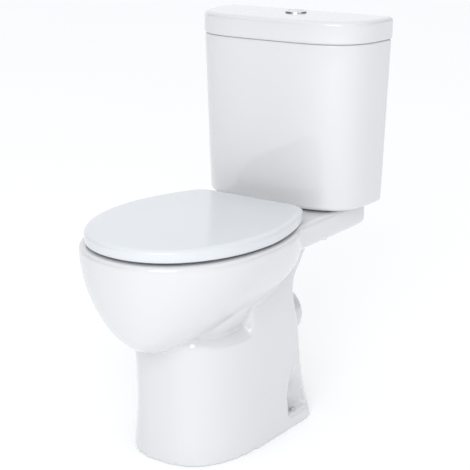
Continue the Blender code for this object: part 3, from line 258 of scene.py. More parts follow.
def tint(colour, factor):
    return tuple(min(1.0, channel * factor) for channel in colour)


def china_glaze(name, colour, clay):
    """Glazed china: a clear glossy coat over white, and bare clay where it stands on the floor."""
    g = Graph(name)
    cloud = g.noise(6.0, 2.0)
    speck = g.noise(900.0, 1.0).ramp(0.74, 0.80)
    body = g.mix(cloud, tint(colour, 0.985), tint(colour, 1.015))
    body = g.mix(speck * 0.10, body, tint(colour, 0.86))
    down = (0 - g.part(g.normal, "Z")).ramp(0.90, 0.98)
    low = 1 - g.part(g.place, "Z").ramp(0.0012, 0.0032)
    bare = down * low
    grit = g.noise(420.0, 4.0, 0.7)
    body = g.mix(bare, body, g.mix(grit, tint(clay, 0.85), tint(clay, 1.1)))
    waves = g.noise(38.0, 1.0, 0.4)
    height = waves * (1 - bare) + grit * bare * 0.6
    rough = (0.055 + 0.035 * cloud) * (1 - bare) + 0.72 * bare
    return g.finish(
        base_color=body,
        roughness=rough,
        coat_weight=0.6 * (1 - bare),
        coat_roughness=0.03,
        ior=1.52,
        normal=g.bump(height, 0.035, 0.002),
    )


def seat_moulding(name, colour):
    """Moulded seat plastic: an even gloss with the faintest ripple from the mould."""
    g = Graph(name)
    flow = g.noise(11.0, 2.0)
    ripple = g.noise(70.0, 1.0, 0.3)
    body = g.mix(flow, tint(colour, 0.99), tint(colour, 1.01))
    return g.finish(
        base_color=body,
        roughness=0.15 + 0.05 * flow,
        coat_weight=0.25 + 0.10 * flow,
        coat_roughness=0.10,
        ior=1.50,
        normal=g.bump(ripple, 0.020, 0.002),
    )


def plated_chrome(name):
    """Plated chrome, with faint smears and fine polishing marks."""
    g = Graph(name)
    smear = g.noise(55.0, 4.0, 0.6)
    marks = g.noise(1400.0, 2.0)
    body = g.mix(smear, (0.70, 0.715, 0.74), (0.82, 0.83, 0.85))
    rough = 0.07 + 0.10 * smear.ramp(0.45, 0.75)
    return g.finish(base_color=body, metallic=1.0, roughness=rough, normal=g.bump(marks, 0.03, 0.0004))


def stainless(name):
    """Drawn stainless steel, with a satin grain."""
    g = Graph(name)
    grain = g.noise(620.0, 3.0, 0.7)
    patch = g.noise(40.0, 2.0)
    body = g.mix(patch, (0.50, 0.50, 0.51), (0.66, 0.66, 0.67))
    return g.finish(
        base_color=body, metallic=1.0, roughness=0.26 + 0.14 * grain, normal=g.bump(grain, 0.12, 0.0005)
    )


def moulded_plastic(name, colour, gloss):
    """Injection moulded plastic: a fine spark-eroded skin, a little dulled in places."""
    g = Graph(name)
    skin = g.noise(1100.0, 2.0)
    wash = g.noise(28.0, 3.0)
    body = g.mix(wash, tint(colour, 0.93), tint(colour, 1.05))
    return g.finish(base_color=body, roughness=gloss + 0.12 * wash, normal=g.bump(skin, 0.10, 0.0004))


def soft_rubber(name, colour):
    """Moulded rubber, with a pale bloom on its surface."""
    g = Graph(name)
    bloom = g.noise(75.0, 4.0, 0.65)
    grain = g.noise(900.0, 3.0)
    body = g.mix(bloom.ramp(0.45, 0.75), colour, tint(colour, 2.4))
    return g.finish(base_color=body, roughness=0.72 + 0.18 * bloom, normal=g.bump(grain, 0.25, 0.0006))


FINISH = {}


def mix_finishes(colours):
    FINISH["china"] = china_glaze("china_glaze", tuple(colours.china), tuple(colours.clay))
    FINISH["seat_plastic"] = seat_moulding("seat_moulding", tuple(colours.seat))
    FINISH["chrome"] = plated_chrome("plated_chrome")
    FINISH["steel"] = stainless("stainless_steel")
    FINISH["white_plastic"] = moulded_plastic("white_moulding", tuple(colours.fitting), 0.34)
    FINISH["blue_plastic"] = moulded_plastic("blue_moulding", tuple(colours.valve), 0.30)
    FINISH["rubber"] = soft_rubber("black_rubber", tuple(colours.rubber))


# ---------------------------------------------------------------- mesh helpers
def blend(value, low, high):
    t = min(1.0, max(0.0, (value - low) / (high - low)))
    return t * t * (3 - 2 * t)


def between(low, high, count):
    return [low + (high - low) * i / (count - 1) for i in range(count)]


def power(value, exponent):
    return math.copysign(abs(value) ** exponent, value)


def read(value, table):
    """Reads a table of (key, value) pairs, easing through each pair with a monotone curve."""
    keys = [k for k, _ in table]
    vals = [v for _, v in table]
    if value <= keys[0]:
        return vals[0]
    if value >= keys[-1]:
        return vals[-1]
    slopes = [(vals[i + 1] - vals[i]) / (keys[i + 1] - keys[i]) for i in range(len(keys) - 1)]
    tangents = [slopes[0]]
    for a, b in zip(slopes, slopes[1:]):
        tangents.append(0.0 if a * b <= 0 else 2 * a * b / (a + b))
    tangents.append(slopes[-1])
    for i in range(len(slopes)):
        if value <= keys[i + 1]:
            h = keys[i + 1] - keys[i]
            t = (value - keys[i]) / h
            return (
                (2 * t**3 - 3 * t**2 + 1) * vals[i]
                + (t**3 - 2 * t**2 + t) * h * tangents[i]
                + (3 * t**2 - 2 * t**3) * vals[i + 1]
                + (t**3 - t**2) * h * tangents[i + 1]
            )
    return vals[-1]


def link(name, mesh):
    obj = bpy.data.objects.new(name, mesh)
    bpy.context.scene.collection.objects.link(obj)
    return obj


def loft(name, rings):
    """Skins rings of points and caps the ends."""
    mesh = bpy.data.meshes.new(name)
    bm = bmesh.new()
    rows = [[bm.verts.new(p) for p in ring] for ring in rings]
    count = len(rows[0])
    for low, high in zip(rows, rows[1:]):
        for i in range(count):
            j = (i + 1) % count
            bm.faces.new((low[i], low[j], high[j], high[i]))
    bm.faces.new(reversed(rows[0]))
    bm.faces.new(rows[-1])
    bmesh.ops.recalc_face_normals(bm, faces=bm.faces)
    bm.to_mesh(mesh)
    bm.free()
    return link(name, mesh)


def block(name, low, high, edge=0.0):
    low, high = Vector(low), Vector(high)
    mesh = bpy.data.meshes.new(name)
    bm = bmesh.new()
    bmesh.ops.create_cube(bm, size=1.0)
    bmesh.ops.scale(bm, vec=high - low, verts=bm.verts)
    bmesh.ops.translate(bm, vec=(low + high) / 2, verts=bm.verts)
    if edge:
        bmesh.ops.bevel(bm, geom=bm.edges[:], offset=edge, segments=4, profile=0.5, affect="EDGES")
    bm.to_mesh(mesh)
    bm.free()
    return link(name, mesh)


def rod(name, radius, start, end, steps=64):
    start, end = Vector(start), Vector(end)
    mesh = bpy.data.meshes.new(name)
    bm = bmesh.new()
    bmesh.ops.create_cone(
        bm, cap_ends=True, segments=steps, radius1=radius, radius2=radius, depth=(end - start).length
    )
    turn = Vector((0, 0, 1)).rotation_difference(end - start).to_matrix().to_4x4()
    bmesh.ops.transform(bm, matrix=Matrix.Translation((start + end) / 2) @ turn, verts=bm.verts)
    bm.to_mesh(mesh)
    bm.free()
    return link(name, mesh)


def turned(name, profile, at, steps=96):
    """A closed (radius, z) profile spun about the vertical through at."""
    mesh = bpy.data.meshes.new(name)
    bm = bmesh.new()
    rows = []
    for radius, z in profile:
        if radius == 0:
            rows.append([bm.verts.new((at[0], at[1], z))])
            continue
        ring = []
        for k in range(steps):
            angle = 2 * math.pi * k / steps
            ring.append(
                bm.verts.new((at[0] + radius * math.cos(angle), at[1] + radius * math.sin(angle), z))
            )
        rows.append(ring)
    pairs = list(zip(rows, rows[1:]))
    if len(rows[0]) > 1 or len(rows[-1]) > 1:
        pairs.append((rows[-1], rows[0]))
    for a, b in pairs:
        for k in range(steps):
            n = (k + 1) % steps
            corners = [a[k % len(a)], a[n % len(a)], b[n % len(b)], b[k % len(b)]]
            corners = list(dict.fromkeys(corners))
            if len(corners) > 2:
                bm.faces.new(corners)
    bmesh.ops.recalc_face_normals(bm, faces=bm.faces)
    bm.to_mesh(mesh)
    bm.free()
    return link(name, mesh)


def carve(obj, joins=(), cuts=()):
    """Joins and cuts with exact Booleans, applies them, and clears the tools away."""
    tools = [(other, "UNION") for other in joins] + [(other, "DIFFERENCE") for other in cuts]
    for other, operation in tools:
        step = obj.modifiers.new(operation.lower(), "BOOLEAN")
        step.operation, step.solver, step.object = operation, "EXACT", other
    settle(obj)
    for other, _ in tools:
        mesh = other.data
        bpy.data.objects.remove(other)
        bpy.data.meshes.remove(mesh)
    return obj


def settle(obj):
    """Turns the object's modifiers into its own mesh."""
    shape = bpy.data.meshes.new_from_object(obj.evaluated_get(bpy.context.evaluated_depsgraph_get()))
    old = obj.data
    obj.modifiers.clear()
    obj.data = shape
    bpy.data.meshes.remove(old)
    shape.name = obj.name
    return obj


def soften(obj, grain, rounds):
    """Recasts a piece on an even grain and smooths it, which rounds every edge and joint as glaze does."""
    recast = obj.modifiers.new("grain", "REMESH")
    recast.mode, recast.voxel_size, recast.use_smooth_shade = "VOXEL", grain, True
    smooth = obj.modifiers.new("soft", "SMOOTH")
    smooth.factor, smooth.iterations = 0.5, rounds
    return settle(obj)


def shade(obj, angle=32.0):
    """Smooth shading that breaks at edges sharper than the angle."""
    bm = bmesh.new()
    bm.from_mesh(obj.data)
    bmesh.ops.remove_doubles(bm, verts=bm.verts, dist=0.000002)
    for face in bm.faces:
        face.smooth = True
    for edge in bm.edges:
        if len(edge.link_faces) == 2:
            edge.smooth = edge.calc_face_angle() < math.radians(angle)
    bm.to_mesh(obj.data)
    bm.free()
    return obj


def fit_out(obj, slot, body, *nodes):
    """Gives a finished piece its material, and puts it in place of its CAD nodes."""
    obj.data.materials.clear()
    obj.data.materials.append(FINISH[slot])
    if nodes:
        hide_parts(*nodes)
    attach(obj, body)
    return obj


# ---------------------------------------------------------------- outlines
def oval(half, front, rear, centre_y, front_power, rear_power, count):
    points = []
    for i in range(count):
        angle = 2 * math.pi * i / count
        along, across = math.sin(angle), math.cos(angle)
        exponent = 2 / (front_power if along < 0 else rear_power)
        reach = front if along < 0 else rear
        points.append((half * power(across, exponent), centre_y + reach * power(along, exponent)))
    return points


def tank_outline(half, depth, back_y, corner, count=120):
    """Flat at the back with two corners, bowed at the front."""
    points = []
    for angle in between(0, math.pi / 2, 9)[:-1]:
        points.append(
            (half - corner + corner * math.cos(angle), back_y - corner + corner * math.sin(angle))
        )
    points.append((half - corner, back_y))
    mirrored = [(-x, y) for x, y in reversed(points)]
    bow = []
    for angle in between(math.pi, 2 * math.pi, count)[1:-1]:
        x = half * power(math.cos(angle), 2 / 3.73)
        bow.append((x, back_y - corner + (depth - corner) * power(math.sin(angle), 2 / 3.59)))
    return points + mirrored + bow


def seat_outline(inset, count=141, side_count=34):
    """Oval nose, sides that close in towards the back, and a straight back edge with rounded corners."""
    widest, back = 0.378, 0.198
    half, back_half = 0.169 - inset, 0.120 - inset
    nose, rear = 0.604 - widest - inset, widest - back - inset

    def side(share):
        return (half - (half - back_half) * share**1.65) * (1 - share**14) ** (1 / 14)

    shares = between(0, 0.90, side_count) + [
        0.915, 0.93, 0.945, 0.957, 0.968, 0.978, 0.986, 0.992, 0.996, 0.9985
    ]
    right = [(side(share), out(widest) + rear * share) for share in shares]
    left = [(-x, y) for x, y in reversed(right)]
    front = []
    for angle in between(math.pi, 2 * math.pi, count)[1:-1]:
        x, y = power(math.cos(angle), 2 / NOSE_POWER), power(math.sin(angle), 2 / NOSE_POWER)
        front.append((half * x, out(widest) + nose * y))
    return right + left + front


def level(outline, z):
    return [Vector((x, y, z)) for x, y in outline]


def rounded(width, height, z, steps=6, inset=0.0):
    """(inset, z) pairs round an outer top edge, from its side up to its top."""
    return [
        (inset + width * (1 - math.cos(a)), z - height + height * math.sin(a)) for a in between(
            0, math.pi / 2, steps
        )
    ]


# ---------------------------------------------------------------- pan
def bowl_ring(drop, inset=0.0):
    share = drop / BOWL_DEPTH
    low, widest = out(BOWL_LOWEST), out(WIDEST)
    nose, back = out(DEPTH), widest + BOWL_REAR
    half = 0.176 * (1 - share**1.64) ** (1 / 1.46)
    front_y = nose + (low - nose) * (1 - (1 - share**2.56) ** (1 / 2.93))
    back_y = back + (low - back) * share**3.0
    middle_y = widest + (low - widest) * share**0.5
    middle_y = min(max(middle_y, front_y + 0.001), back_y - 0.001)
    fullness = 2.6 + 1.4 * min(1.0, share * 3)
    front, rear = middle_y - front_y - inset, back_y - middle_y - inset
    return level(oval(half - inset, front, rear, middle_y, NOSE_POWER, fullness, 144), RIM_Z - drop)


def bowl_outside():
    rings = []
    for inset, z in reversed(rounded(RIM_EDGE, RIM_EDGE, RIM_Z, 5)):
        rings.append([Vector((p.x, p.y, z)) for p in bowl_ring(RIM_Z - z, inset)])
    for k in range(1, 45):
        share = 0.985 * math.sin(math.pi / 2 * (0.03 + 0.97 * k / 44))
        if share * BOWL_DEPTH > RIM_EDGE + 0.001:
            rings.append(bowl_ring(share * BOWL_DEPTH))
    return loft("bowl_outside", rings)


def bowl_inside(name, grow, low_z, high_z):
    """The mouth, the undercut below the rim, and the slope down to the sump."""
    half, front, rear = 0.122, DEPTH - WIDEST - 0.022 - 0.054, 0.123
    under = RIM_Z - 0.034
    levels = [(high_z, 0.0, 0.0), (under, 0.0, 0.0)]
    for t in between(0.0, 1.0, 30):
        z = under - 0.004 - (under - 0.004 - SUMP_TOP) * t
        levels.append((z, 0.016 * (1 - blend(t, 0.05, 0.6)), t**2.0))
    levels.append((low_z, 0.0, 1.0))
    rings = []
    for z, wider, share in levels:
        size = [(reach + wider) * (1 - share) + SUMP_RADIUS * share + grow for reach in (half, front, rear)]
        middle = out(WIDEST + 0.022) * (1 - share) + out(SUMP) * share
        rings.append(level(oval(*size, middle, 2.1, 2.1, 112), z - grow * share))
    return loft(name, rings)


def foot_top(y):
    step_y = out(STEP)
    low = SHOULDER_Z - 0.008 + 0.022 * blend(y, out(FOOT_NOSE), step_y)
    return low + (DECK_BASE - low) * blend(y, step_y - STEP_LENGTH / 2, step_y + STEP_LENGTH / 2)


def foot_half(z):
    waist = [(0.0, 0.0), (0.10, -0.0070), (SHOULDER_Z, -0.0040), (0.29, -0.0080), (0.38, -0.0020)]
    return FOOT_HALF + read(z, waist)


LEAN = [
    (0.0, 0.0), (0.114, 0.030), (0.204, 0.050), (0.265, 0.064), (0.292, 0.062), (0.325, 0.040), (0.380, 0.0)
]


def foot_walls(name, inset, low_z, high_z, back_extra=0.0):
    rings = []
    for z in between(low_z, high_z, 30):
        nose = out(FOOT_NOSE - read(z, [(0.0, 0.0), (0.110, 0.005), (SHOULDER_Z, 0.0)])) + inset
        back = out(FOOT_BACK + read(z, LEAN)) - inset + back_extra
        middle = out(FOOT_NOSE - 0.190)
        outline = oval(foot_half(z) - inset, middle - nose, back - middle, middle, 2.6, 12, 176)
        rings.append(level(outline, z))
    return loft(name, rings)


def shoulder_tool(name, shift):
    wide, top = 0.237, RIM_Z + 0.05
    start, step_y = out(FOOT_NOSE + 0.03), out(STEP)
    stations = between(start, start + 0.12, 14) + between(
        step_y - STEP_LENGTH / 2, step_y + STEP_LENGTH / 2, 19
    )
    side = foot_half(SHOULDER_Z)
    rings = []
    for y in stations:
        edge = foot_top(y) - shift
        behind = blend(y, step_y - STEP_LENGTH / 2, step_y + STEP_LENGTH / 2)
        rise = 0.032 * (1 - behind) * (0.6 + 0.4 * blend(y, start + 0.028, start + 0.075))
        half = [(wide, -0.10), (side - 0.003, 0.0), (0.066, 1.0)]
        shape = [(-x, edge + rise * share) for x, share in half]
        shape += [(x, edge + rise * share) for x, share in reversed(half)] + [(wide, top), (-wide, top)]
        rings.append([Vector((x, y + shift, z)) for x, z in shape])
    return loft(name, rings)


def trap_path():
    path = [(out(SUMP), SUMP_TOP + 0.012), (out(SUMP), BEND_Z)]
    for angle in between(math.pi, 2 * math.pi, 25)[1:]:
        path.append((out(SUMP) + BEND + BEND * math.cos(angle), BEND_Z + BEND * math.sin(angle)))
    slope = math.radians(40)
    for angle in between(math.pi, math.pi / 2 - slope, 22):
        path.append((out(SUMP) + 3 * BEND + BEND * math.cos(angle), WEIR_Z - BEND + BEND * math.sin(angle)))
    start_y = path[-1][0] + (path[-1][1] - SPIGOT_Z - BEND * (1 - math.cos(slope))) / math.tan(slope)
    for angle in between(slope, 0, 9):
        path.append(
            (start_y + BEND * (math.sin(slope) - math.sin(angle)), SPIGOT_Z + BEND * (1 - math.cos(angle)))
        )
    path.append((path[-1][0] + 0.006, SPIGOT_Z))
    return [Vector(point) for point in path]


def trap_tube(name, radius):
    path = trap_path()
    rings = []
    for i, point in enumerate(path):
        ahead = path[min(i + 1, len(path) - 1)] - path[max(i - 1, 0)]
        normal = Vector((-ahead.y, ahead.x)).normalized()
        ring = []
        for k in range(40):
            angle = 2 * math.pi * k / 40
            side = point + normal * radius * math.sin(angle)
            ring.append(Vector((radius * math.cos(angle), side.x, side.y)))
        rings.append(ring)
    return loft(name, rings)


def deck_slab():
    half, back, front, corner, edge = 0.140, out(0.003), out(0.275), 0.012, 0.006
    rings = []
    sections = [(edge * 2, DECK_BASE), (edge * 0.7, DECK_BASE + edge * 0.7), (0, DECK_BASE + edge * 2)]
    sections += [(inset, z - 0.0002) for inset, z in rounded(edge, edge, RIM_Z, 5)]
    for inset, z in sections:
        corners = []
        for a in between(0, math.pi / 2, 9):
            corners.append(
                (half - inset - corner + corner * math.cos(a), back - inset - corner + corner * math.sin(a))
            )
        outline = corners + [(-x, y) for x, y in reversed(corners)] + [
            (-half + inset, front), (half - inset, front)
        ]
        rings.append(level(outline, z))
    return loft("deck_slab", rings)


def foot_pocket(name, side, grow):
    """The recess over a floor screw: shallower towards its top, with the rim of the foot left behind it."""
    low, top, reach = 0.025 - grow * 6, 0.152 + grow, FOOT_HALF + 0.030
    rings = []
    for z in between(low, top, 22):
        inner = FOOT_HALF - grow - 0.030 * (1 - blend(z, 0.045, 0.160 + grow))
        front = out(FOOT_BACK + 0.092 + grow - 0.020 * blend(z, 0.05, 0.16))
        back = out(FOOT_BACK + read(z, LEAN) + 0.009 - grow)
        middle, half = (front + back) / 2, (back - front) / 2
        ring = []
        for k in range(48):
            angle = 2 * math.pi * k / 48
            x = (inner + reach) / 2 + (reach - inner) / 2 * power(math.cos(angle), 0.30)
            ring.append(Vector((side * x, middle + half * power(math.sin(angle), 0.42), z)))
        rings.append(ring)
    return loft(name, rings)


def pan_piece(shape):
    """The pan: bowl, deck, pedestal, trap and spigot cast as one, and softened all over."""
    body = foot_walls("china_pan", 0.0, 0.0, DECK_BASE + 0.015)
    hollow = foot_walls("hollow", CHINA_WALL, -0.02, DECK_BASE + 0.003, 0.10)
    pockets = [foot_pocket("pocket_liner", side, CHINA_WALL) for side in (-1, 1)]
    carve(hollow, cuts=[shoulder_tool("inner_shoulder", CHINA_WALL), *pockets])
    carve(body, cuts=[shoulder_tool("shoulder", 0.0), hollow])
    liner = bowl_inside("bowl_liner", CHINA_WALL * 0.9, SUMP_TOP - 0.030, RIM_Z - 0.044)
    spigot_y = out(SPIGOT_END)
    spigot = rod("spigot", 0.051, (0, spigot_y - 0.052, SPIGOT_Z), (0, spigot_y, SPIGOT_Z), 96)
    tube = trap_tube("trap", 0.036)
    carve(body, joins=[bowl_outside(), deck_slab(), liner, tube, spigot])
    flush_at = (0, FLUSH_Y)
    way_low = (-0.053, out(WIDEST - 0.177 + 0.084), DECK_BASE + 0.011)
    cuts = [
        bowl_inside("bowl_cavity", 0.0, SUMP_TOP - 0.030, RIM_Z + 0.010),
        trap_tube("trap_bore", 0.027),
        rod("spigot_bore", 0.041, (0, spigot_y - 0.0364, SPIGOT_Z), (0, spigot_y + 0.01, SPIGOT_Z), 96),
        block("flush_way", way_low, (0.053, FLUSH_Y + 0.03485, RIM_Z - 0.014), 0.004),
        rod("inlet", 0.041, (*flush_at, RIM_Z - 0.022), (*flush_at, RIM_Z + 0.02), 96),
    ]
    carve(body, cuts=cuts)
    holes = []
    for side in (-1, 1):
        holes.append(foot_pocket("pocket", side, 0.0))
        screw = (side * 0.104, out(0.208))
        holes.append(rod("screw_hole", 0.005, (*screw, -0.01), (*screw, 0.06), 32))
        holes.append(
            rod("bolt_hole", 0.006, (side * 0.075, FLUSH_Y, 0.30), (side * 0.075, FLUSH_Y, 0.45), 32)
        )
        seat_at = (side * 0.0775, out(0.2235))
        holes.append(rod("seat_hole", 0.0065, (*seat_at, RIM_Z - 0.034), (*seat_at, RIM_Z + 0.03), 32))
    supply = (-0.112, out(0.070))
    holes.append(rod("supply_hole", 0.019, (*supply, 0.30), (*supply, 0.45), 64))
    carve(body, cuts=holes)
    soften(body, shape.grain, shape.softness)
    return fit_out(body, "china", "toilet", "pan")


# ---------------------------------------------------------------- cistern
def tank_section(inset, z):
    """The tank's outline at height z: it tapers from the lid down to its base."""
    share = blend_straight(z, TANK_LOW[2], TANK_HIGH[2])
    half = 0.1735 + (0.1845 - 0.1735) * share
    depth = 0.1525 + (0.160 - 0.1525) * share
    return tank_outline(half - inset, depth - 2 * inset, WALL_Y - 0.0015 - inset, max(0.012 - inset, 0.003))


def blend_straight(value, low, high):
    return min(1.0, max(0.0, (value - low) / (high - low)))


def tank_piece():
    """The cistern: a tapered tank, open at the top, with a soft lower edge."""
    base, top, edge = TANK_LOW[2], TANK_HIGH[2], 0.009
    rings = []
    for a in between(0, math.pi / 2, 8):
        rings.append(level(tank_section(edge * (1 - math.sin(a)), base), base + edge * (1 - math.cos(a))))
    for z in between(base + edge, top - 0.0030, 6)[1:]:
        rings.append(level(tank_section(0.0, z), z))
    for inset, z in rounded(0.0036, 0.0030, top, 7)[1:]:
        rings.append(level(tank_section(inset, top), z))
    body = loft("china_cistern", rings)
    floor, wall = base + 0.012, 0.009
    inner = [
        level(tank_section(wall + 0.006 * (1 - math.sin(a)), floor), floor + 0.006 * (1 - math.cos(a)))
        for a in between(0, math.pi / 2, 6)
    ]
    for z in between(floor + 0.006, top + 0.012, 5)[1:]:
        inner.append(level(tank_section(wall, z), z))
    cuts = [
        loft("tank_inside", inner),
        rod("outlet", 0.032, (0, FLUSH_Y, base - 0.01), (0, FLUSH_Y, floor + 0.01))
    ]
    supply = (-0.112, out(0.070))
    cuts.append(rod("valve_hole", 0.0115, (*supply, base - 0.01), (*supply, floor + 0.01), 48))
    for side in (-1, 1):
        at = (side * 0.075, FLUSH_Y)
        cuts.append(rod("bolt_hole", 0.0055, (*at, base - 0.01), (*at, floor + 0.01), 32))
    carve(body, cuts=cuts)
    return fit_out(shade(body), "china", "toilet", "cistern")


def lid_piece():
    """The lid: a soft top edge, a small lower edge, and a lip that drops into the tank."""
    low, top, edge = LID_LOW[2] + 0.010, LID_HIGH[2], 0.008
    half, depth = 0.186, 0.163

    def ring(inset, z):
        return level(
            tank_outline(half - inset, depth - 2 * inset, WALL_Y - inset, max(0.012 - inset, 0.003)), z
        )

    rings = [
        ring(0.0045 * (1 - math.sin(a)), low + 0.0045 * (1 - math.cos(a)))
        for a in between(0, math.pi / 2, 7)
    ]
    rings += [ring(inset, z) for inset, z in rounded(edge, edge, top, 10)]
    rings.append(ring(edge + 0.012, top))
    body = loft("china_lid", rings)
    lip = loft("lip", [ring(0.0150, low - 0.010), ring(0.0135, low - 0.0085), ring(0.0135, low + 0.006)])
    carve(body, joins=[lip])
    inside = loft(
        "inside",
        [
            ring(0.0185, low - 0.02), ring(0.0185, top - 0.013), ring(0.0215, top - 0.0095),
            ring(0.0230, top - 0.009)
        ]
    )
    hole = rod("button_hole", 0.0185, (0, FLUSH_Y, low - 0.02), (0, FLUSH_Y, top + 0.01), 96)
    carve(body, cuts=[inside, hole])
    return fit_out(shade(body), "china", "tank_lid", "cistern_lid")


# ---------------------------------------------------------------- seat and cover
def hinge_spans():
    """Distances from the middle of the hinge pieces' ends: the cover's ears, then the barrels."""
    barrel_in, barrel_out = 0.0675, 0.0875
    ear_out = barrel_in - 0.0008
    return ear_out - 0.008, ear_out, barrel_in, barrel_out


def ring_piece():
    """The seat ring: rounded inside and out, with notches at the back for the hinges."""
    base, top, inset = RING_LOW[2], RING_HIGH[2], 0.0068
    rings = [
        level(seat_outline(inset + 0.003 * (1 - math.sin(a))), base + 0.003 * (1 - math.cos(a)))
        for a in between(0, math.pi / 2, 5)
    ]
    rings += [level(seat_outline(inset + more), z) for more, z in rounded(0.006, 0.006, top, 8)]
    body = loft("seat_ring_moulding", rings)
    centre = out(0.405)
    mouth = []
    shapes = [(0.004, base - 0.004), (0.001, base + 0.003), (0.0, base + 0.006)]
    shapes += [(more, z) for more, z in rounded(0.008, 0.008, top, 8)] + [(0.0085, top + 0.003)]
    for more, z in shapes:
        mouth.append(level(oval(0.100 + more, 0.145 + more, 0.108 + more, centre, 2.1, 2.3, 128), z))
    cuts = [loft("mouth", mouth)]
    ear_in, _, _, barrel_out = hinge_spans()
    for side in (-1, 1):
        x0, x1 = sorted((side * (ear_in - 0.0008), side * (barrel_out + 0.0008)))
        cuts.append(block("notch", (x0, HINGE_Y - 0.030, base - 0.01), (x1, HINGE_Y + 0.03, top + 0.01)))
        x0, x1 = sorted((side * 0.101, side * 0.2))
        cuts.append(block("corner", (x0, HINGE_Y - 0.0235, base - 0.01), (x1, HINGE_Y + 0.03, top + 0.01)))
        x0, x1 = side * (ear_in - 0.0091), side * (barrel_out + 0.0091)
        cuts.append(rod("bore", 0.0033, (x0, HINGE_Y, HINGE_Z), (x1, HINGE_Y, HINGE_Z), 32))
    carve(body, cuts=cuts)
    return fit_out(shade(body), "seat_plastic", "seat", "seat_ring")


def cover_piece(shape):
    """The cover: a shallow domed cap with a soft edge, hollow below, with an ear at each hinge."""
    base, top = COVER_LOW[2], COVER_HIGH[2]
    top_edge = top - shape.crown
    rings = []
    for a in between(0, math.pi / 2, 6):
        rings.append(level(seat_outline(0.0030 * (1 - math.sin(a))), base + 0.0038 * (1 - math.cos(a))))
    for more, z in rounded(0.0120, 0.0085, top_edge, 14):
        rings.append(level(seat_outline(more), z))
    for share in between(0.0, 1.0, 9)[1:]:
        inset = 0.0120 + 0.072 * share
        rings.append(level(seat_outline(inset), top_edge + shape.crown * math.sin(math.pi / 2 * share)))
    body = loft("seat_cover_moulding", rings)
    inner_z = 0.4325
    hollow = [
        (0.0045, base - 0.01), (0.0045, inner_z - 0.004), (0.0055, inner_z - 0.0015), (0.0080, inner_z)
    ]
    back_low, back_high = (-0.104, HINGE_Y - 0.01, base - 0.01), (0.104, HINGE_Y + 0.03, inner_z - 0.0001)
    cuts = [
        loft("inside", [level(seat_outline(more), z) for more, z in hollow]),
        block("back_gap", back_low, back_high)
    ]
    carve(body, cuts=cuts)
    ear_in, ear_out, _, _ = hinge_spans()
    joins, bores = [], []
    for side in (-1, 1):
        x0, x1 = sorted((side * ear_in, side * ear_out))
        joins.append(rod("ear", 0.0065, (x0, HINGE_Y, HINGE_Z), (x1, HINGE_Y, HINGE_Z), 48))
        joins.append(
            block("web", (x0, HINGE_Y - 0.0065, HINGE_Z), (x1, HINGE_Y + 0.00325, inner_z + 0.002))
        )
        bores.append(rod("bore", 0.0033, (x0 - 0.01, HINGE_Y, HINGE_Z), (x1 + 0.01, HINGE_Y, HINGE_Z), 32))
    carve(body, joins=joins, cuts=bores)
    return fit_out(shade(body), "seat_plastic", "cover", "seat_cover")


# ---------------------------------------------------------------- buttons
def bezel_piece():
    """The bezel: a rounded chrome ring with a sleeve through the lid."""
    low, top = BEZEL_LOW[2], BEZEL_HIGH[2]
    base, outer, bore = LID_HIGH[2] + 0.0003, 0.0215, 0.0155
    profile = [
        (bore, top - 0.0008), (bore + 0.0003, top - 0.0003), (bore + 0.0009, top), (outer - 0.0030, top)
    ]
    profile += [(outer - inset, z) for inset, z in reversed(rounded(0.0024, 0.0024, top, 8))]
    profile += [(outer, base), (bore + 0.002, base), (bore + 0.002, low), (bore, low)]
    return fit_out(
        shade(turned("chrome_bezel", profile, (0, FLUSH_Y), 128)), "chrome", "tank_lid", "button_bezel"
    )


def button_piece(name, node, body, side, dish):
    """Half of the button: a chrome half round, softened at its edge and a little hollow on top."""
    low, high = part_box(node)
    edge_x = 0.004 + side * 0.0003
    rings = []
    sections = [(0.0004, low[2]), (0.0, low[2] + 0.0004), (0.0, high[2] - 0.0012)]
    sections += [(inset, z) for inset, z in rounded(0.0011, 0.0011, high[2], 6)]
    reach = 0.0060 if side < 0 else 0.0038
    for share in between(0.0, 1.0, 8)[1:]:
        sections.append((0.0011 + reach * share, high[2] - dish * blend(share, 0.0, 1.2)))
    for inset, z in sections:
        radius = 0.0150 - inset
        limit = math.acos((edge_x + side * inset) * side / radius)
        arc = between(-limit, limit, 65)
        rings.append(
            [Vector((side * radius * math.cos(a), FLUSH_Y + radius * math.sin(a), z)) for a in arc]
        )
    return fit_out(shade(loft(name, rings), 40.0), "chrome", body, node)


# ---------------------------------------------------------------- repeats
def tree_with(name, inputs):
    tree = bpy.data.node_groups.new(name, "GeometryNodeTree")
    tree.interface.new_socket("Geometry", in_out="OUTPUT", socket_type="NodeSocketGeometry")
    for label, kind, value in inputs:
        tree.interface.new_socket(label, in_out="INPUT", socket_type=kind).default_value = value
    return tree, tree.nodes.new("NodeGroupInput"), tree.nodes.new("NodeGroupOutput")


